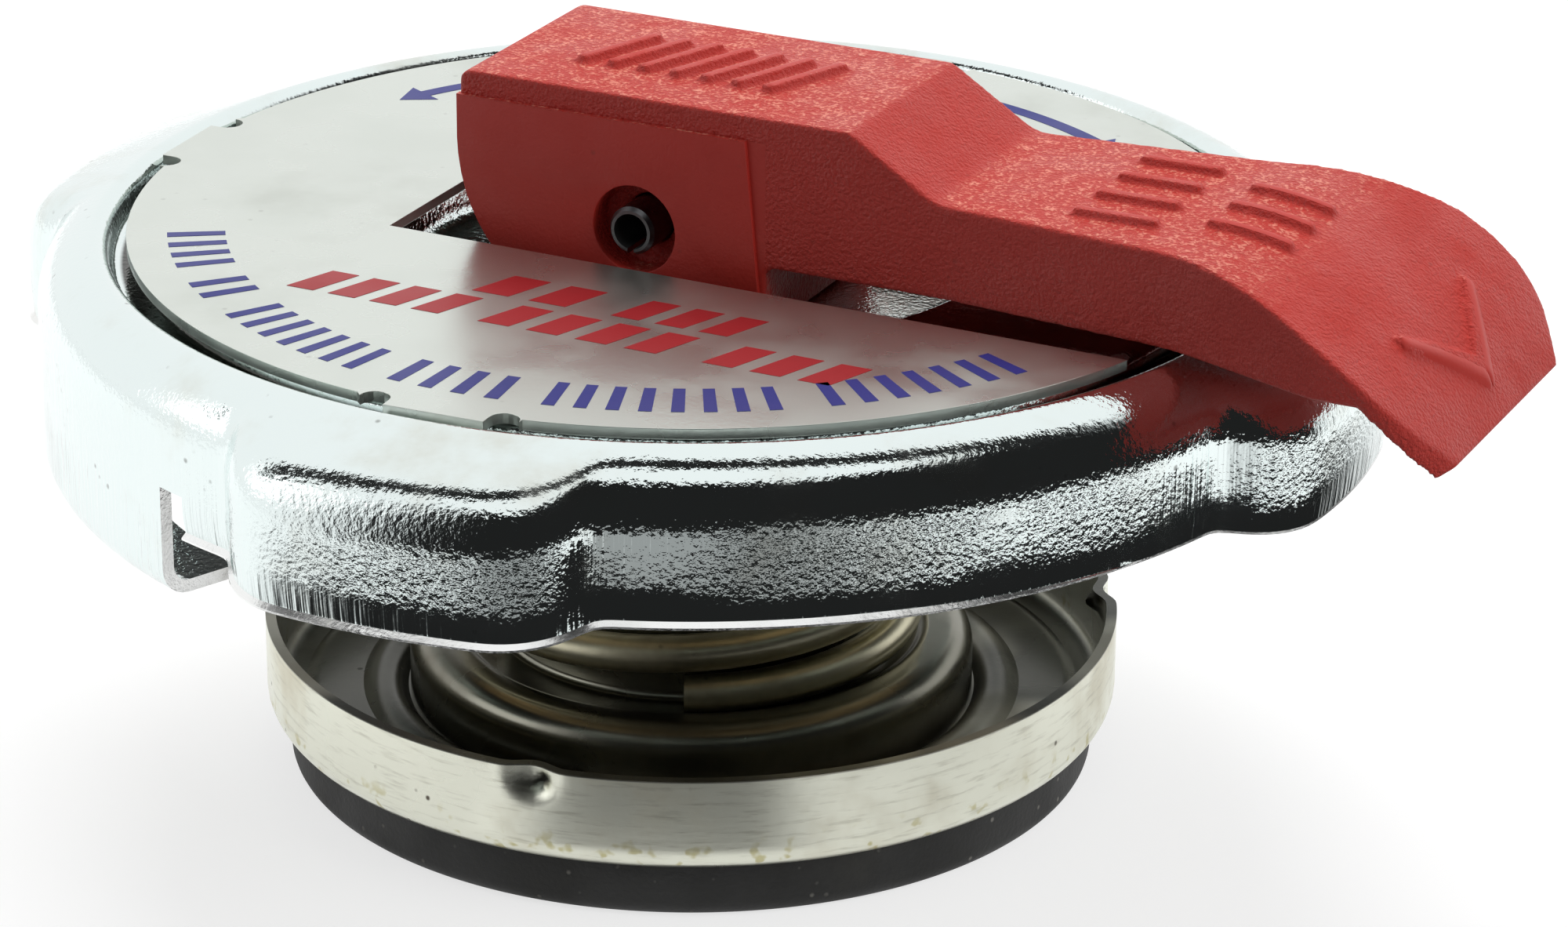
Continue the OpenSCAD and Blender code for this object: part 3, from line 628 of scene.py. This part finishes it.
def turned(name, section, material, segments=256, change=None):
    points = []
    for k in range(segments):
        a = 2 * math.pi * k / segments
        for r, z in section:
            r, z = change(r, z, a) if change else (r, z)
            points.append((*polar(r, a), z))
    return facing(piece(name, points, skin(segments, len(section), True), [material]))


def stand_in(obj, body, slot, *stood_for):
    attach(obj, body)
    if stood_for:
        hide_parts(*stood_for)
    print(obj.name, "rides on", body, "with", len(obj.data.polygons), "faces")


print("skins ready")

# %% [markdown]
# ## The shell
# On the real cap one press makes the crown, the skirt and the four grip lobes from a single sheet, so
# nothing has a hard corner except its cut edge. A lathe can't give the lobes, and joined solids leave
# creases, so the sheet is a grid: each column is the same bent profile, only with its own outer
# radius. The radius follows the lobes, and a small blur rounds the inner corners beside them.

# %% Radius of the skirt all the way round
skirt_r, lobe_r, end_r, lobe_half = 30.6, 33.2, 4.5, 8.5
fine_step, blur_width, blur_reach = 0.05, 0.75, 60
degrees = np.arange(0, 360, fine_step)
off = np.abs((degrees + 45) % 90 - 45)
past = np.radians(np.maximum(off - lobe_half, 0))
centre_r = lobe_r - end_r
inside = np.maximum(end_r**2 - (centre_r * np.sin(past)) ** 2, 0)
lobe = np.where(inside > 0, centre_r * np.cos(past) + np.sqrt(inside), 0)
plan = np.maximum(skirt_r, lobe)
blur = np.exp(-0.5 * (np.arange(-blur_reach, blur_reach + 1) * fine_step / blur_width) ** 2)
wrapped = np.r_[plan[-blur_reach:], plan, plan[:blur_reach]]
plan = np.convolve(wrapped, blur / blur.sum(), "valid")
print("skirt radius from", plan.min().round(2), "to", plan.max().round(2))

# %% Profile of one column
rim_inner, rim_z, crown_slope = 27.4, 27.0, math.tan(math.radians(17))
floor_z, seat_z, moat_z = 23.9, 26.36, 25.46
notch_top, skirt_low, lobe_drop = 21.4, 19.4, 0.4
skirt_tuck, lip_out, lip_rise, least_lip, cut_height = 0.16, 0.24, 0.2, 0.15, 0.1
ear_low, ear_inner, ear_bend = 16.0, 26.6, 1.4
low_rows = 6


def column(outer, lip, tuck=skirt_tuck):
    path = [
        (2.3, floor_z, 0), (13.7, floor_z, 0.9), (14.7, seat_z, 0.8), (25.3, seat_z, 0.7),
        (25.6, moat_z, 0.3), (27.1, moat_z, 0.3), (rim_inner, rim_z, 0.7),
        (outer, rim_z - (outer - rim_inner) * crown_slope, 3.0), (outer, notch_top, 0),
    ]
    points = bent(path, 7)[:-1]
    top = points[-1][1]
    points += [(outer, top + (notch_top - top) * i / 3) for i in (1, 2, 3)]
    foot = skirt_low - lobe_drop * (outer - skirt_r) / (lobe_r - skirt_r)
    lip_top = foot + cut_height + lip_rise * max(lip, least_lip)
    for share in np.arange(1, low_rows + 1) / low_rows:
        points.append((outer - tuck * share**2, notch_top + (lip_top - notch_top) * share))
    edge = outer - tuck + lip_out * lip
    points += [(edge, foot + cut_height), (edge, foot)]
    bend_x, bend_z = outer - ear_bend, ear_low + ear_bend
    ear = [(outer, foot + (bend_z - foot) * i / 2) for i in (1, 2)]
    for a in np.radians(range(15, 91, 15)):
        ear.append((bend_x + ear_bend * math.cos(a), bend_z - ear_bend * math.sin(a)))
    ear += [(bend_x + (ear_inner - bend_x) * i / 3, ear_low) for i in (1, 2, 3)]
    return points, ear


rows_top, rows_ear = (len(rows) for rows in column(skirt_r, 0))
print("a column has", rows_top, "points above the skirt's edge and", rows_ear, "on an ear")

# %% The sheet as a grid, with its notches and ears
step, ear_centre, ear_half, notch_half = 0.75, 45, 19.5, 22.5
lip_turns, lip_sizes = (20, 35, 310, 334), (0, 1, 1, 0)
columns, rows = int(360 / step), rows_top + rows_ear
points = []
for k in range(columns):
    a = math.radians(k * step + shell_turn)
    outer = float(np.interp(k * step, degrees, plan))
    lip = float(np.interp(k * step, lip_turns, lip_sizes))
    on_ear = abs(k * step % 180 - ear_centre) < ear_half + 0.1
    top, ear = column(outer, 0, 0) if on_ear else column(outer, lip)
    points += [(*polar(r, a), z) for r, z in top + ear]
faces, bare = [], []
for k in range(columns):
    middle = abs(((k + 0.5) * step) % 180 - ear_centre)
    in_ear, in_notch = middle < ear_half, ear_half < middle < notch_half
    for i in range(rows - 1):
        if i >= rows_top - 1 and not in_ear:
            continue
        if i >= rows_top - 3 - low_rows and in_notch:
            continue
        here, there = k * rows, (k + 1) % columns * rows
        faces.append((here + i, here + i + 1, there + i + 1, there + i))
        bare.append(int(rows_top - 3 <= i < rows_top - 1 and not in_ear))
shell = piece("shell_pressing", points, faces, [plating, cut_edge])
shell.data.polygons.foreach_set("material_index", bare)
print("sheet of", len(faces), "cells")


# %% Thickness of the shell's sheet
def without_loose_points(work):
    loose = [v for v in work.verts if not v.link_faces]
    bmesh.ops.delete(work, geom=loose, context="VERTS")


sheet_t = 0.6
reworked(shell, without_loose_points)
solid = shell.modifiers.new("sheet", "SOLIDIFY")
solid.thickness = sheet_t * MM
solid.offset = -1
solid.use_even_offset = True
solid.material_offset_rim = 1
settle(shell)
shade(shell, 40)
stand_in(shell, "cap", "plating", "shell")

# %% [markdown]
# ## The label
# The label is a flat blank with a slot for the lever, three small tabs and the nicks beside them.
# Cutting a disc with booleans would leave long thin faces, so its outline is walked once round,
# filled, given its thickness and a tiny bevel that catches light. The bevel's edges are kept sharp
# in the shading, because smooth normals would bend the reflections all over the flat face.

# %% Outline of the label
label_r, tab_end, tab_half, nick, label_step = 26.4, 27.0, 2.4, 0.7, 0.75
slot_half, slot_back, tab_window = 7.35, 12.1, 0.4
slot_edge = math.degrees(math.asin(slot_half / label_r))
gap = math.degrees((tab_half + 2 * nick) / label_r)
tabs = [shell_turn + 90 * k for k in (1, 2, 3)]
half_tab = []
for b in np.radians(range(0, 181, 20)):
    half_tab.append((label_r - nick * math.sin(b), -tab_half - nick - nick * math.cos(b)))
half_tab.append((tab_end, -tab_half))
whole_tab = half_tab + [(u, -s) for u, s in half_tab[::-1]]
outline = []
for a in np.arange(slot_edge, 360 - slot_edge + 0.01, label_step):
    near = [t for t in tabs if abs(a - t) < gap]
    if not near:
        outline.append(polar(label_r, math.radians(a)))
    elif abs(a - near[0]) <= tab_window:
        c, s = polar(1, math.radians(near[0]))
        outline += [(u * c - v * s, u * s + v * c) for u, v in whole_tab]
outline += [(-slot_back, -slot_half), (-slot_back, slot_half)]
print("label outline of", len(outline), "points")


# %% Flat blanks of any outline
def blank(name, outline, low, high, material):
    count = len(outline)
    points = [(x, y, low) for x, y in outline] + [(x, y, high) for x, y in outline]
    faces = [tuple(range(count))[::-1], tuple(range(count, 2 * count))]
    for i in range(count):
        j = (i + 1) % count
        faces.append((i, j, count + j, count + i))
    return piece(name, points, faces, [material])


label_t, label_bevel = 0.5, 0.06
label_top = seat_z + label_t
label = blank("label_plate", outline, seat_z, label_top, label_metal)
edge = label.modifiers.new("edge", "BEVEL")
edge.width, edge.segments = label_bevel * MM, 2
edge.limit_method, edge.angle_limit = "ANGLE", math.radians(60)
settle(label)
shade(label, 15)
stand_in(label, "cap", "label", "label_disc")

# %% Shapes of the print
film_low, film_top = label_top - 0.01, label_top + 0.015
arc_step, head_grow = 1.5, 0.9


def printed(name, outlines, ink):
    films = joined([blank(name, shape, film_low, film_top, ink) for shape in outlines])
    shade(films)
    return films


def leaning_bar(x0, x1, y, height, lean=0.35):
    low, top, shift = y - height / 2, y + height / 2, lean * height / 2
    return [(x0 - shift, low), (x1 - shift, low), (x1 + shift, top), (x0 + shift, top)]


def arc_bar(a0, a1, inner, outer, head=0):
    steps = max(4, int(abs(a1 - a0) / arc_step))
    angles = np.radians(np.linspace(a0, a1, steps))
    far = [polar(outer, a) for a in angles]
    near = [polar(inner, a) for a in angles[::-1]]
    if not head:
        return far + near
    grow, tip = (outer - inner) * head_grow, math.radians(a1 + head)
    end, middle = angles[-1], (inner + outer) / 2
    arrow = [(outer + grow, end), (middle, tip), (inner - grow, end)]
    return far + [polar(r, a) for r, a in arrow] + near


def blocks(start, end, count, gap):
    pitch = (end - start) / count
    starts = [start + pitch * (k + gap / 2) for k in range(count)]
    return [(at, at + pitch * (1 - gap)) for at in starts]


print("print shapes ready")

# %% Red bars
bar_gap, upper_y, upper_height, lower_y, lower_height = 0.36, -11.9, 2.5, -15.15, 2.6
upper_groups = [(-4.6, 1.2, 2), (2.6, 9.2, 3)]
lower_groups = [(-12.2, -3.6, 4), (-2.4, 7.4, 4), (8.8, 15.8, 3)]
bars = []
for groups, y, height in (
    (upper_groups, upper_y, upper_height),
    (lower_groups, lower_y, lower_height),
):
    for start, end, count in groups:
        bars += [leaning_bar(a, b, y, height) for a, b in blocks(start, end, count, bar_gap)]
red_print = printed("red_print", bars, red_ink)
stand_in(red_print, "cap", "label")

# %% Blue ticks and arrows
tick_gap, tick_inner, tick_outer, arrow_inner, arrow_outer = 0.58, 21.8, 24.5, 22.2, 23.0
tick_groups = [
    (-149, -136, 4), (-133, -126, 2), (-122.5, -99.5, 7), (-97, -82, 4), (-79.5, -53, 8),
    (-50, -25.5, 7),
]
ticks = []
for start, end, count in tick_groups:
    turns = blocks(start, end, count, tick_gap)
    ticks += [arc_bar(a, b, tick_inner, tick_outer) for a, b in turns]
arrows = [
    arc_bar(start, end, arrow_inner, arrow_outer, head)
    for start, end, head in ((140, 153, 4), (82, 56, -4))
]
blue_print = printed("blue_print", ticks + arrows, blue_ink)
stand_in(blue_print, "cap", "label")

# %% [markdown]
# ## The lever
# Moulded plastic has no knife edges. A bevel can't follow every edge where the hub, the arm and the
# paddle meet, so a voxel remesh turns the lever's solid into one even skin, a few rounds of smoothing
# round every edge by about a third of a millimetre, and the mesh is thinned out again. That also
# softens the raised marks, so crisp strokes are laid over them afterwards.

# %% One smooth skin
lever = placed("lever_moulding", nodes["lever"].data.copy())
melt = lever.modifiers.new("melt", "REMESH")
melt.mode, melt.voxel_size = "VOXEL", 0.13 * MM
soft = lever.modifiers.new("soft", "SMOOTH")
soft.factor, soft.iterations = 0.5, 9
thin = lever.modifiers.new("thin", "DECIMATE")
thin.ratio = 0.3
settle(lever)
lever.data.materials.clear()
lever.data.materials.append(lever_red)
shade(lever, 180)
stand_in(lever, "lever", "lever_red", "lever")

# %% One raised stroke
pin_z, hub_z, hub_end, arm_z, bend_x, paddle_r = 28.2, 34.5, 12, 31.8, 26.8, 16.0
stroke_section = [
    (-0.5, -0.3), (-0.5, 0.16), (-0.36, 0.32), (0, 0.38), (0.36, 0.32), (0.5, 0.16), (0.5, -0.3),
]
stroke_ends = [(0, 0.5), (0.07, 0.8), (0.2, 1)]
stroke_first, stroke_pitch, slimmest = 0.4, 0.3, 0.4


def lever_top(x):
    if x < hub_end:
        return hub_z
    past = max(0, x - bend_x)
    return arm_z - paddle_r + math.sqrt(paddle_r**2 - past**2)


def raised_stroke(start, end, width):
    start, end = np.array(start), np.array(end)
    length = np.linalg.norm(end - start)
    along = (end - start) / length
    side = np.array((-along[1], along[0]))
    middle = [(at, 1) for at in np.arange(stroke_first, length - stroke_pitch, stroke_pitch)]
    stations = stroke_ends + middle + [(length - at, size) for at, size in stroke_ends[::-1]]
    points = []
    for at, size in stations:
        for u, h in stroke_section:
            wide = u * width * (slimmest + (1 - slimmest) * size)
            x, y = start + along * at + side * wide
            points.append((x, y, lever_top(x) + h * size))
    count = len(stroke_section)
    faces = end_caps(len(stations), count) + skin(len(stations), count)
    return facing(piece("lever_marks", points, faces, [mark_red]))


print("a stroke has", len(stroke_section), "points in its section")

# %% Raised strokes on the hub, the arm and the paddle
stroke_width, chevron_width, hub_lean, hub_half = 0.6, 0.55, math.radians(20), 2.5
lean = hub_half * np.array((math.sin(hub_lean), math.cos(hub_lean)))
hub_places = np.arange(-3.8, 6, 1.6)
arm_strokes = [(21.0, 25.0, y) for y in (-3.9, -1.3, 1.3, 3.9)]
arm_strokes += [(26.9, 30.9, y) for y in (-2.6, 0, 2.6)]
chevron_tip, chevron_back, chevron_half = 39.4, 36.7, 4.4
strokes = [raised_stroke((x, 0) - lean, (x, 0) + lean, stroke_width) for x in hub_places]
strokes += [raised_stroke((x0, y), (x1, y), stroke_width) for x0, x1, y in arm_strokes]
for y in (-chevron_half, chevron_half):
    strokes.append(raised_stroke((chevron_tip, 0), (chevron_back, y), chevron_width))
lever_marks = joined(strokes)
stand_in(lever_marks, "lever", "lever_red")

# %% [markdown]
# ### Hub panels
# The smooth panel on each side of the hub stands a little proud. Its lower outline is the cam, so it
# is worked out from the same rule as the solid's: the reach grows evenly with the lever's angle. A
# filled curve with a bevel gives the panel, its hole for the pin and its soft edge in one go.

# %% Outline of a hub panel
counterbore_r, cam_base, valve_lift, panel_back = 2.15, 4.2, 5.0, -9.2
cam_rate = valve_lift / (math.pi / 2)
panel_outline = [
    (6.5, pin_z - cam_base), (5.6, panel_top), (panel_back, panel_top), (panel_back, 31.2)
]
for a in np.radians(range(84, -1, -6)):
    arm = cam_base + cam_rate * a
    x = -arm * math.sin(a) - cam_rate * math.cos(a)
    panel_outline.append((x, pin_z - arm * math.cos(a) + cam_rate * math.sin(a)))
panel_hole = []
for a in np.radians(range(0, 360, 5)):
    panel_hole.append((counterbore_r * math.cos(a), pin_z + counterbore_r * math.sin(a)))
print("panel outline of", len(panel_outline), "points")

# %% Raised panels on the hub
panel_half, panel_bevel, panel_side, weld = 0.16 * MM, 0.05 * MM, 5.74 * MM, 0.002 * MM


def hub_panel(side):
    curve = bpy.data.curves.new("hub_panel", "CURVE")
    curve.dimensions, curve.fill_mode = "2D", "BOTH"
    curve.extrude, curve.bevel_depth, curve.bevel_resolution = panel_half, panel_bevel, 2
    for loop in (panel_outline, panel_hole):
        line = curve.splines.new("POLY")
        line.points.add(len(loop) - 1)
        line.use_cyclic_u = True
        for point, (x, z) in zip(line.points, loop):
            point.co = (x * MM, z * MM, 0, 1)
    drawn = placed("hub_panel", curve)
    graph = bpy.context.evaluated_depsgraph_get()
    mesh = bpy.data.meshes.new_from_object(drawn.evaluated_get(graph))
    bpy.data.objects.remove(drawn)
    upright = Matrix.Rotation(math.pi / 2, 4, "X")
    mesh.transform(Matrix.Translation((0, side * panel_side, 0)) @ upright)
    mesh.materials.clear()
    mesh.materials.append(lever_red)
    panel = placed("hub_panel", mesh)
    reworked(panel, lambda work: bmesh.ops.remove_doubles(work, verts=work.verts, dist=weld))
    shade(facing(panel), 60)
    return panel


stand_in(joined([hub_panel(-1), hub_panel(1)]), "lever", "lever_red")

# %% [markdown]
# ## Ring, dome and gasket
# These three are round, so each is one section turned about the axis. On the real ring a punch makes
# the crimp dents after the ring is formed. A Screw modifier could turn a section, but in code the
# dents can be pushed in on the way: every point within a dent's radius moves towards the axis, in a
# wide scoop with a small pit in it.

# %% Valve ring with its crimp dents
ring_r, ring_t, ring_detail, ring_segments = 20.5, 0.5, 0.22, 400
dent_turns, wall_inner, wall_low = (-84, 30, 150), 19, 5
ring_path = [
    (7.2, 2.7, 0), (13.95, 2.7, 0.4), (14.7, 3.7, 0.6), (15.7, 2.9, 0.5),
    (18.1, 2.9, 0.6), (18.6, 2.7, 0.6), (ring_r, 2.7, 1.2), (ring_r, 7.4, 0),
]
scoop = {"depth": 0.55, "width": 1.7, "x": 0.0, "z": 7.1}
pit = {"depth": 0.5, "width": 0.65, "x": 0.4, "z": 6.6}


def crimped(r, z, a):
    if r < wall_inner or z < wall_low:
        return r, z
    for centre in dent_turns:
        away = (math.degrees(a) - centre + 180) % 360 - 180
        along = math.radians(away) * ring_r
        for dent in (scoop, pit):
            d = min(1, math.hypot(along - dent["x"], z - dent["z"]) / dent["width"])
            r -= dent["depth"] * (1 + math.cos(math.pi * d)) / 2
    return r, z


ring_section = sheet_section(ring_path, ring_t, ring_detail)
ring = turned("ring_pressing", ring_section, ring_steel, ring_segments, crimped)
stand_in(ring, "valve", "ring_steel", "valve_ring")

# %% Domed spring seat
dome_path = [
    (1.7, 11.0, 0), (9.0, 11.0, 1.6), (9.0, 6.15, 0.4), (10.9, 6.15, 0.4),
    (11.3, 6.6, 0.7), (13.6, 6.6, 1.3), (13.6, 3.2, 0),
]
dome_t = 0.6
dome = turned("dome_pressing", sheet_section(dome_path, -dome_t), dome_steel)
stand_in(dome, "valve", "dome_steel", "lower_spring_seat")

# %% Lower gasket
gasket_path = [
    (7.2, 2.7, 0), (7.2, 2.1, 0), (9.1, 2.1, 0), (9.1, 1.5, 0), (10.2, 1.5, 0), (10.5, 1.35, 0),
    (11.1, 1.35, 0), (11.4, 1.5, 0), (12.6, 1.5, 0), (12.6, 0, 0.4), (19.4, 0, 0.8),
    (19.4, 2.7, 0),
]
gasket = turned("gasket_ring", bent(gasket_path), rubber)
stand_in(gasket, "valve", "rubber_black", "lower_gasket")

# %% [markdown]
# ## Springs
# A spring is a round wire swept along a helix whose end turns lie closed. A curve with a round bevel
# would do for a plain helix, but the closed ends need their own pitch, so the sections are placed in
# code. The real coil shortens as the valve rises; here each coil is placed at rest and rides on one
# body.

# %% Wire wound into a spring
closed_turns, closed_pitch, end_size = 0.9, 1.03, 0.96


def wound(name, mean_r, wire, turns, low, high, start, per_turn, sides, material):
    pitch = wire * closed_pitch
    climb = high - low - wire - pitch * turns
    steps = int(turns * per_turn)
    points = []
    for i in range(steps + 1):
        t = turns * i / steps
        a = math.radians(start) + 2 * math.pi * t
        share = min(1, max(0, (t - closed_turns) / (turns - 2 * closed_turns)))
        z = low + wire / 2 + pitch * t + climb * share
        wire_r = wire / 2 * (end_size if i in (0, steps) else 1)
        for b in 2 * math.pi * np.arange(sides) / sides:
            r = mean_r + wire_r * math.cos(b)
            points.append((*polar(r, a), z + wire_r * math.sin(b)))
    faces = end_caps(steps + 1, sides) + skin(steps + 1, sides)
    return facing(piece(name, points, faces, [material], 60))


print("closed turns at each end:", closed_turns)

# %% Pressure spring and vacuum spring
coil_low, coil_high = 6.15, 22.4
coil = dict(mean_r=10.3, wire=1.8, turns=4.5, low=coil_low, high=coil_high, start=-65)
spring = wound("pressure_coil", **coil, per_turn=60, sides=20, material=spring_wire)
stand_in(spring, "cap", "spring_wire", "pressure_spring")
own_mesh(spring)
small_low, small_high, vacuum_drop = 3.7, 7.1, 1.2
small = dict(mean_r=1.9, wire=0.4, turns=4, low=small_low, high=small_high, start=0)
small_spring = wound("vacuum_coil", **small, per_turn=32, sides=10, material=plain_steel)
stand_in(small_spring, "valve", "vacuum_wire", "vacuum_spring")
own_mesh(small_spring)

# %% [markdown]
# ## Pivot pin
# The pin is a strip of spring steel rolled into a tube, with a slit left open along it. A cylinder
# with two cuts would do, but running the wall's section round by 340 degrees gives the slit, the
# bore and the chamfers at once. The faces of the bore are painted near black, as painted shade inside
# the tube.

# %% Rolled pivot pin
pin_r, nose_r, bore_r, pin_end, pin_chamfer, around = 1.15, 1.0, 0.85, 6.28, 0.2, 44
slit_start, slit_end = -80, 260
pin_section = [
    (bore_r, -pin_end), (nose_r, -pin_end), (pin_r, pin_chamfer - pin_end),
    (pin_r, pin_end - pin_chamfer), (nose_r, pin_end), (bore_r, pin_end),
]
points, count = [], len(pin_section)
for a in np.radians(np.linspace(slit_start, slit_end, around + 1)):
    points += [(r * math.cos(a), y, pin_z + r * math.sin(a)) for r, y in pin_section]
faces = skin(around + 1, count) + end_caps(around + 1, count)
pin = piece("rolled_pin", points, faces, [pin_steel, pin_bore])
for k in range(around):
    pin.data.polygons[k * count + count - 1].material_index = 1
stand_in(facing(pin), "valve", "pin_steel", "pivot_pin")

# %% [markdown]
# ## Pieces that keep their solids
# The seats, washers and the vacuum valve are hidden or plain, and their solids are right as they are.
# They could be modelled again, but nothing more would show, so they only get finishes.

# %% Finishes for the remaining solids
kept = {
    bronze: ("diaphragm_spring",),
    rubber: ("upper_gasket", "stem_seal"),
    brass: ("vacuum_disc", "vacuum_stem"),
    plain_steel: (
        "upper_spring_seat", "seal_washer", "gasket_retainer",
        "lift_stem", "stem_washer", "vacuum_clip",
    ),
}
for material, names in kept.items():
    for name in names:
        mesh = nodes[name].data
        mesh.materials.clear()
        mesh.materials.append(material)
print("finished solids:", sum(len(names) for names in kept.values()))

# %% [markdown]
# ## A small studio
# The cap stands on a white floor. A soft box behind it, one at its right and a weak one at its left
# give the light. Bright metal shows whatever is around it, so camera and mirror rays see white
# surroundings, and cards that only mirror rays see draw the dark bands: curved ones lie on the floor
# and stand up in front, and a bar hangs overhead for the thin line on the crown's shoulder. More lamps
# would light the metal without giving it anything to show.


# %% White surroundings
def seen_directly(tree):
    path = tree.nodes.new("ShaderNodeLightPath")
    rays = path.outputs
    both = math_node(tree, "ADD", rays["Is Camera Ray"], rays["Is Glossy Ray"], clamp=True)
    return math_node(tree, "ADD", both, rays["Is Transmission Ray"], clamp=True)


fill_light, seen_white = 0.25, 1.0
world = bpy.data.worlds.new("white_surroundings")
scene.world = world
world.use_nodes = True
tree = world.node_tree
backdrop = tree.nodes["Background"]
level = tree.nodes.new("ShaderNodeMapRange")
level.inputs["To Min"].default_value = fill_light
level.inputs["To Max"].default_value = seen_white
tree.links.new(seen_directly(tree), level.inputs["Value"])
backdrop.inputs["Color"].default_value = (1, 1, 1, 1)
tree.links.new(level.outputs["Result"], backdrop.inputs["Strength"])
print("world ready")

# %% Floor
floor_half, floor_low, floor_glow = 3000, -0.02, 0.7
floor_white, tree = new_material("floor_white")
shader = tree.nodes["Principled BSDF"]
shader.inputs["Base Color"].default_value = (0.36, 0.36, 0.36, 1)
shader.inputs["Roughness"].default_value = 0.9
shader.inputs["Emission Color"].default_value = (1, 1, 1, 1)
tree.links.new(product(tree, seen_directly(tree), floor_glow), shader.inputs["Emission Strength"])
signs = ((-1, -1), (1, -1), (1, 1), (-1, 1))
corners = [(u * floor_half, v * floor_half, floor_low) for u, v in signs]
floor = piece("floor", corners, [(0, 1, 2, 3)], [floor_white])
print("floor ready")


# %% Cards with soft ends
def soft_card(name, level, start, end, fade):
    made, tree = new_material(name)
    tree.nodes.remove(tree.nodes["Principled BSDF"])
    glow = tree.nodes.new("ShaderNodeEmission")
    x, y, _ = object_xyz(tree)
    turn = turn_about(tree, x, y)
    first = span_degrees(tree, turn, start, start + fade)
    last = span_degrees(tree, turn, end, end - fade)
    dark = product(tree, first, last)
    tree.links.new(span(tree, dark, 0.0, 1.0, 1.0, level), glow.inputs["Strength"])
    tree.links.new(glow.outputs[0], tree.nodes["Material Output"].inputs[0])
    return made


def glossy_only(card):
    card.visible_camera = card.visible_diffuse = False
    card.visible_shadow = card.visible_transmission = False


def curved_card(name, turns, low, high, level, fade, strips=40):
    points = []
    for a in np.radians(np.linspace(*turns, strips + 1)):
        points += [(*polar(r, a), z) for r, z in (low, high)]
    faces = [(2 * i, 2 * i + 2, 2 * i + 3, 2 * i + 1) for i in range(strips)]
    glossy_only(piece(name, points, faces, [soft_card(name, level, *turns, fade)]))


print("card tools ready")

# %% Dark cards in front, and a bar overhead
card_z, card_top, black = 0.4, 540, 0.015
curved_card("front_card", (-100, -35), (26, card_z), (44, card_z), 0.22, 20)
curved_card("near_card", (-134, 62), (44, card_z), (77, card_z), black, 34)
curved_card("middle_card", (-116, -14), (77, card_z), (112, card_z), 0.36, 44)
curved_card("far_card", (-128, 50), (112, card_z), (330, card_z), black, 28)
curved_card("upright_card", (-128, 50), (330, card_z), (330, card_top), black, 28)
bar_half_length, bar_half_width, bar_z = 700, 55, 400
corners = []
for u, v in signs:
    flat = right * (u * bar_half_length) + ahead * (v * bar_half_width)
    corners.append(flat + Vector((0, 0, bar_z)))
bar_dark = soft_card("overhead_bar", 0.02, -181, 181, 0.1)
glossy_only(piece("overhead_bar", corners, [(0, 1, 2, 3)], [bar_dark]))
print("cards ready")

# %% Soft boxes
lamp_aim = Vector((0, 0, 20 * MM))


def soft_box(name, place, size, power, mirrored):
    light = bpy.data.lights.new(name, "AREA")
    light.shape, light.energy = "SQUARE", power
    light.size = size
    obj = placed(name, light)
    obj.location = place
    away = Vector(place) - lamp_aim
    obj.rotation_euler = away.to_track_quat("Z", "Y").to_euler()
    obj.visible_glossy = mirrored


soft_box("back_box", (-0.22, 0.34, 0.5), size=0.4, power=3.9, mirrored=False)
soft_box("right_box", (0.5, 0.0, 0.3), size=0.35, power=1.4, mirrored=False)
soft_box("side_box", (-0.45, -0.3, 0.3), size=0.35, power=0.2, mirrored=True)
scene.view_settings.view_transform = "Standard"
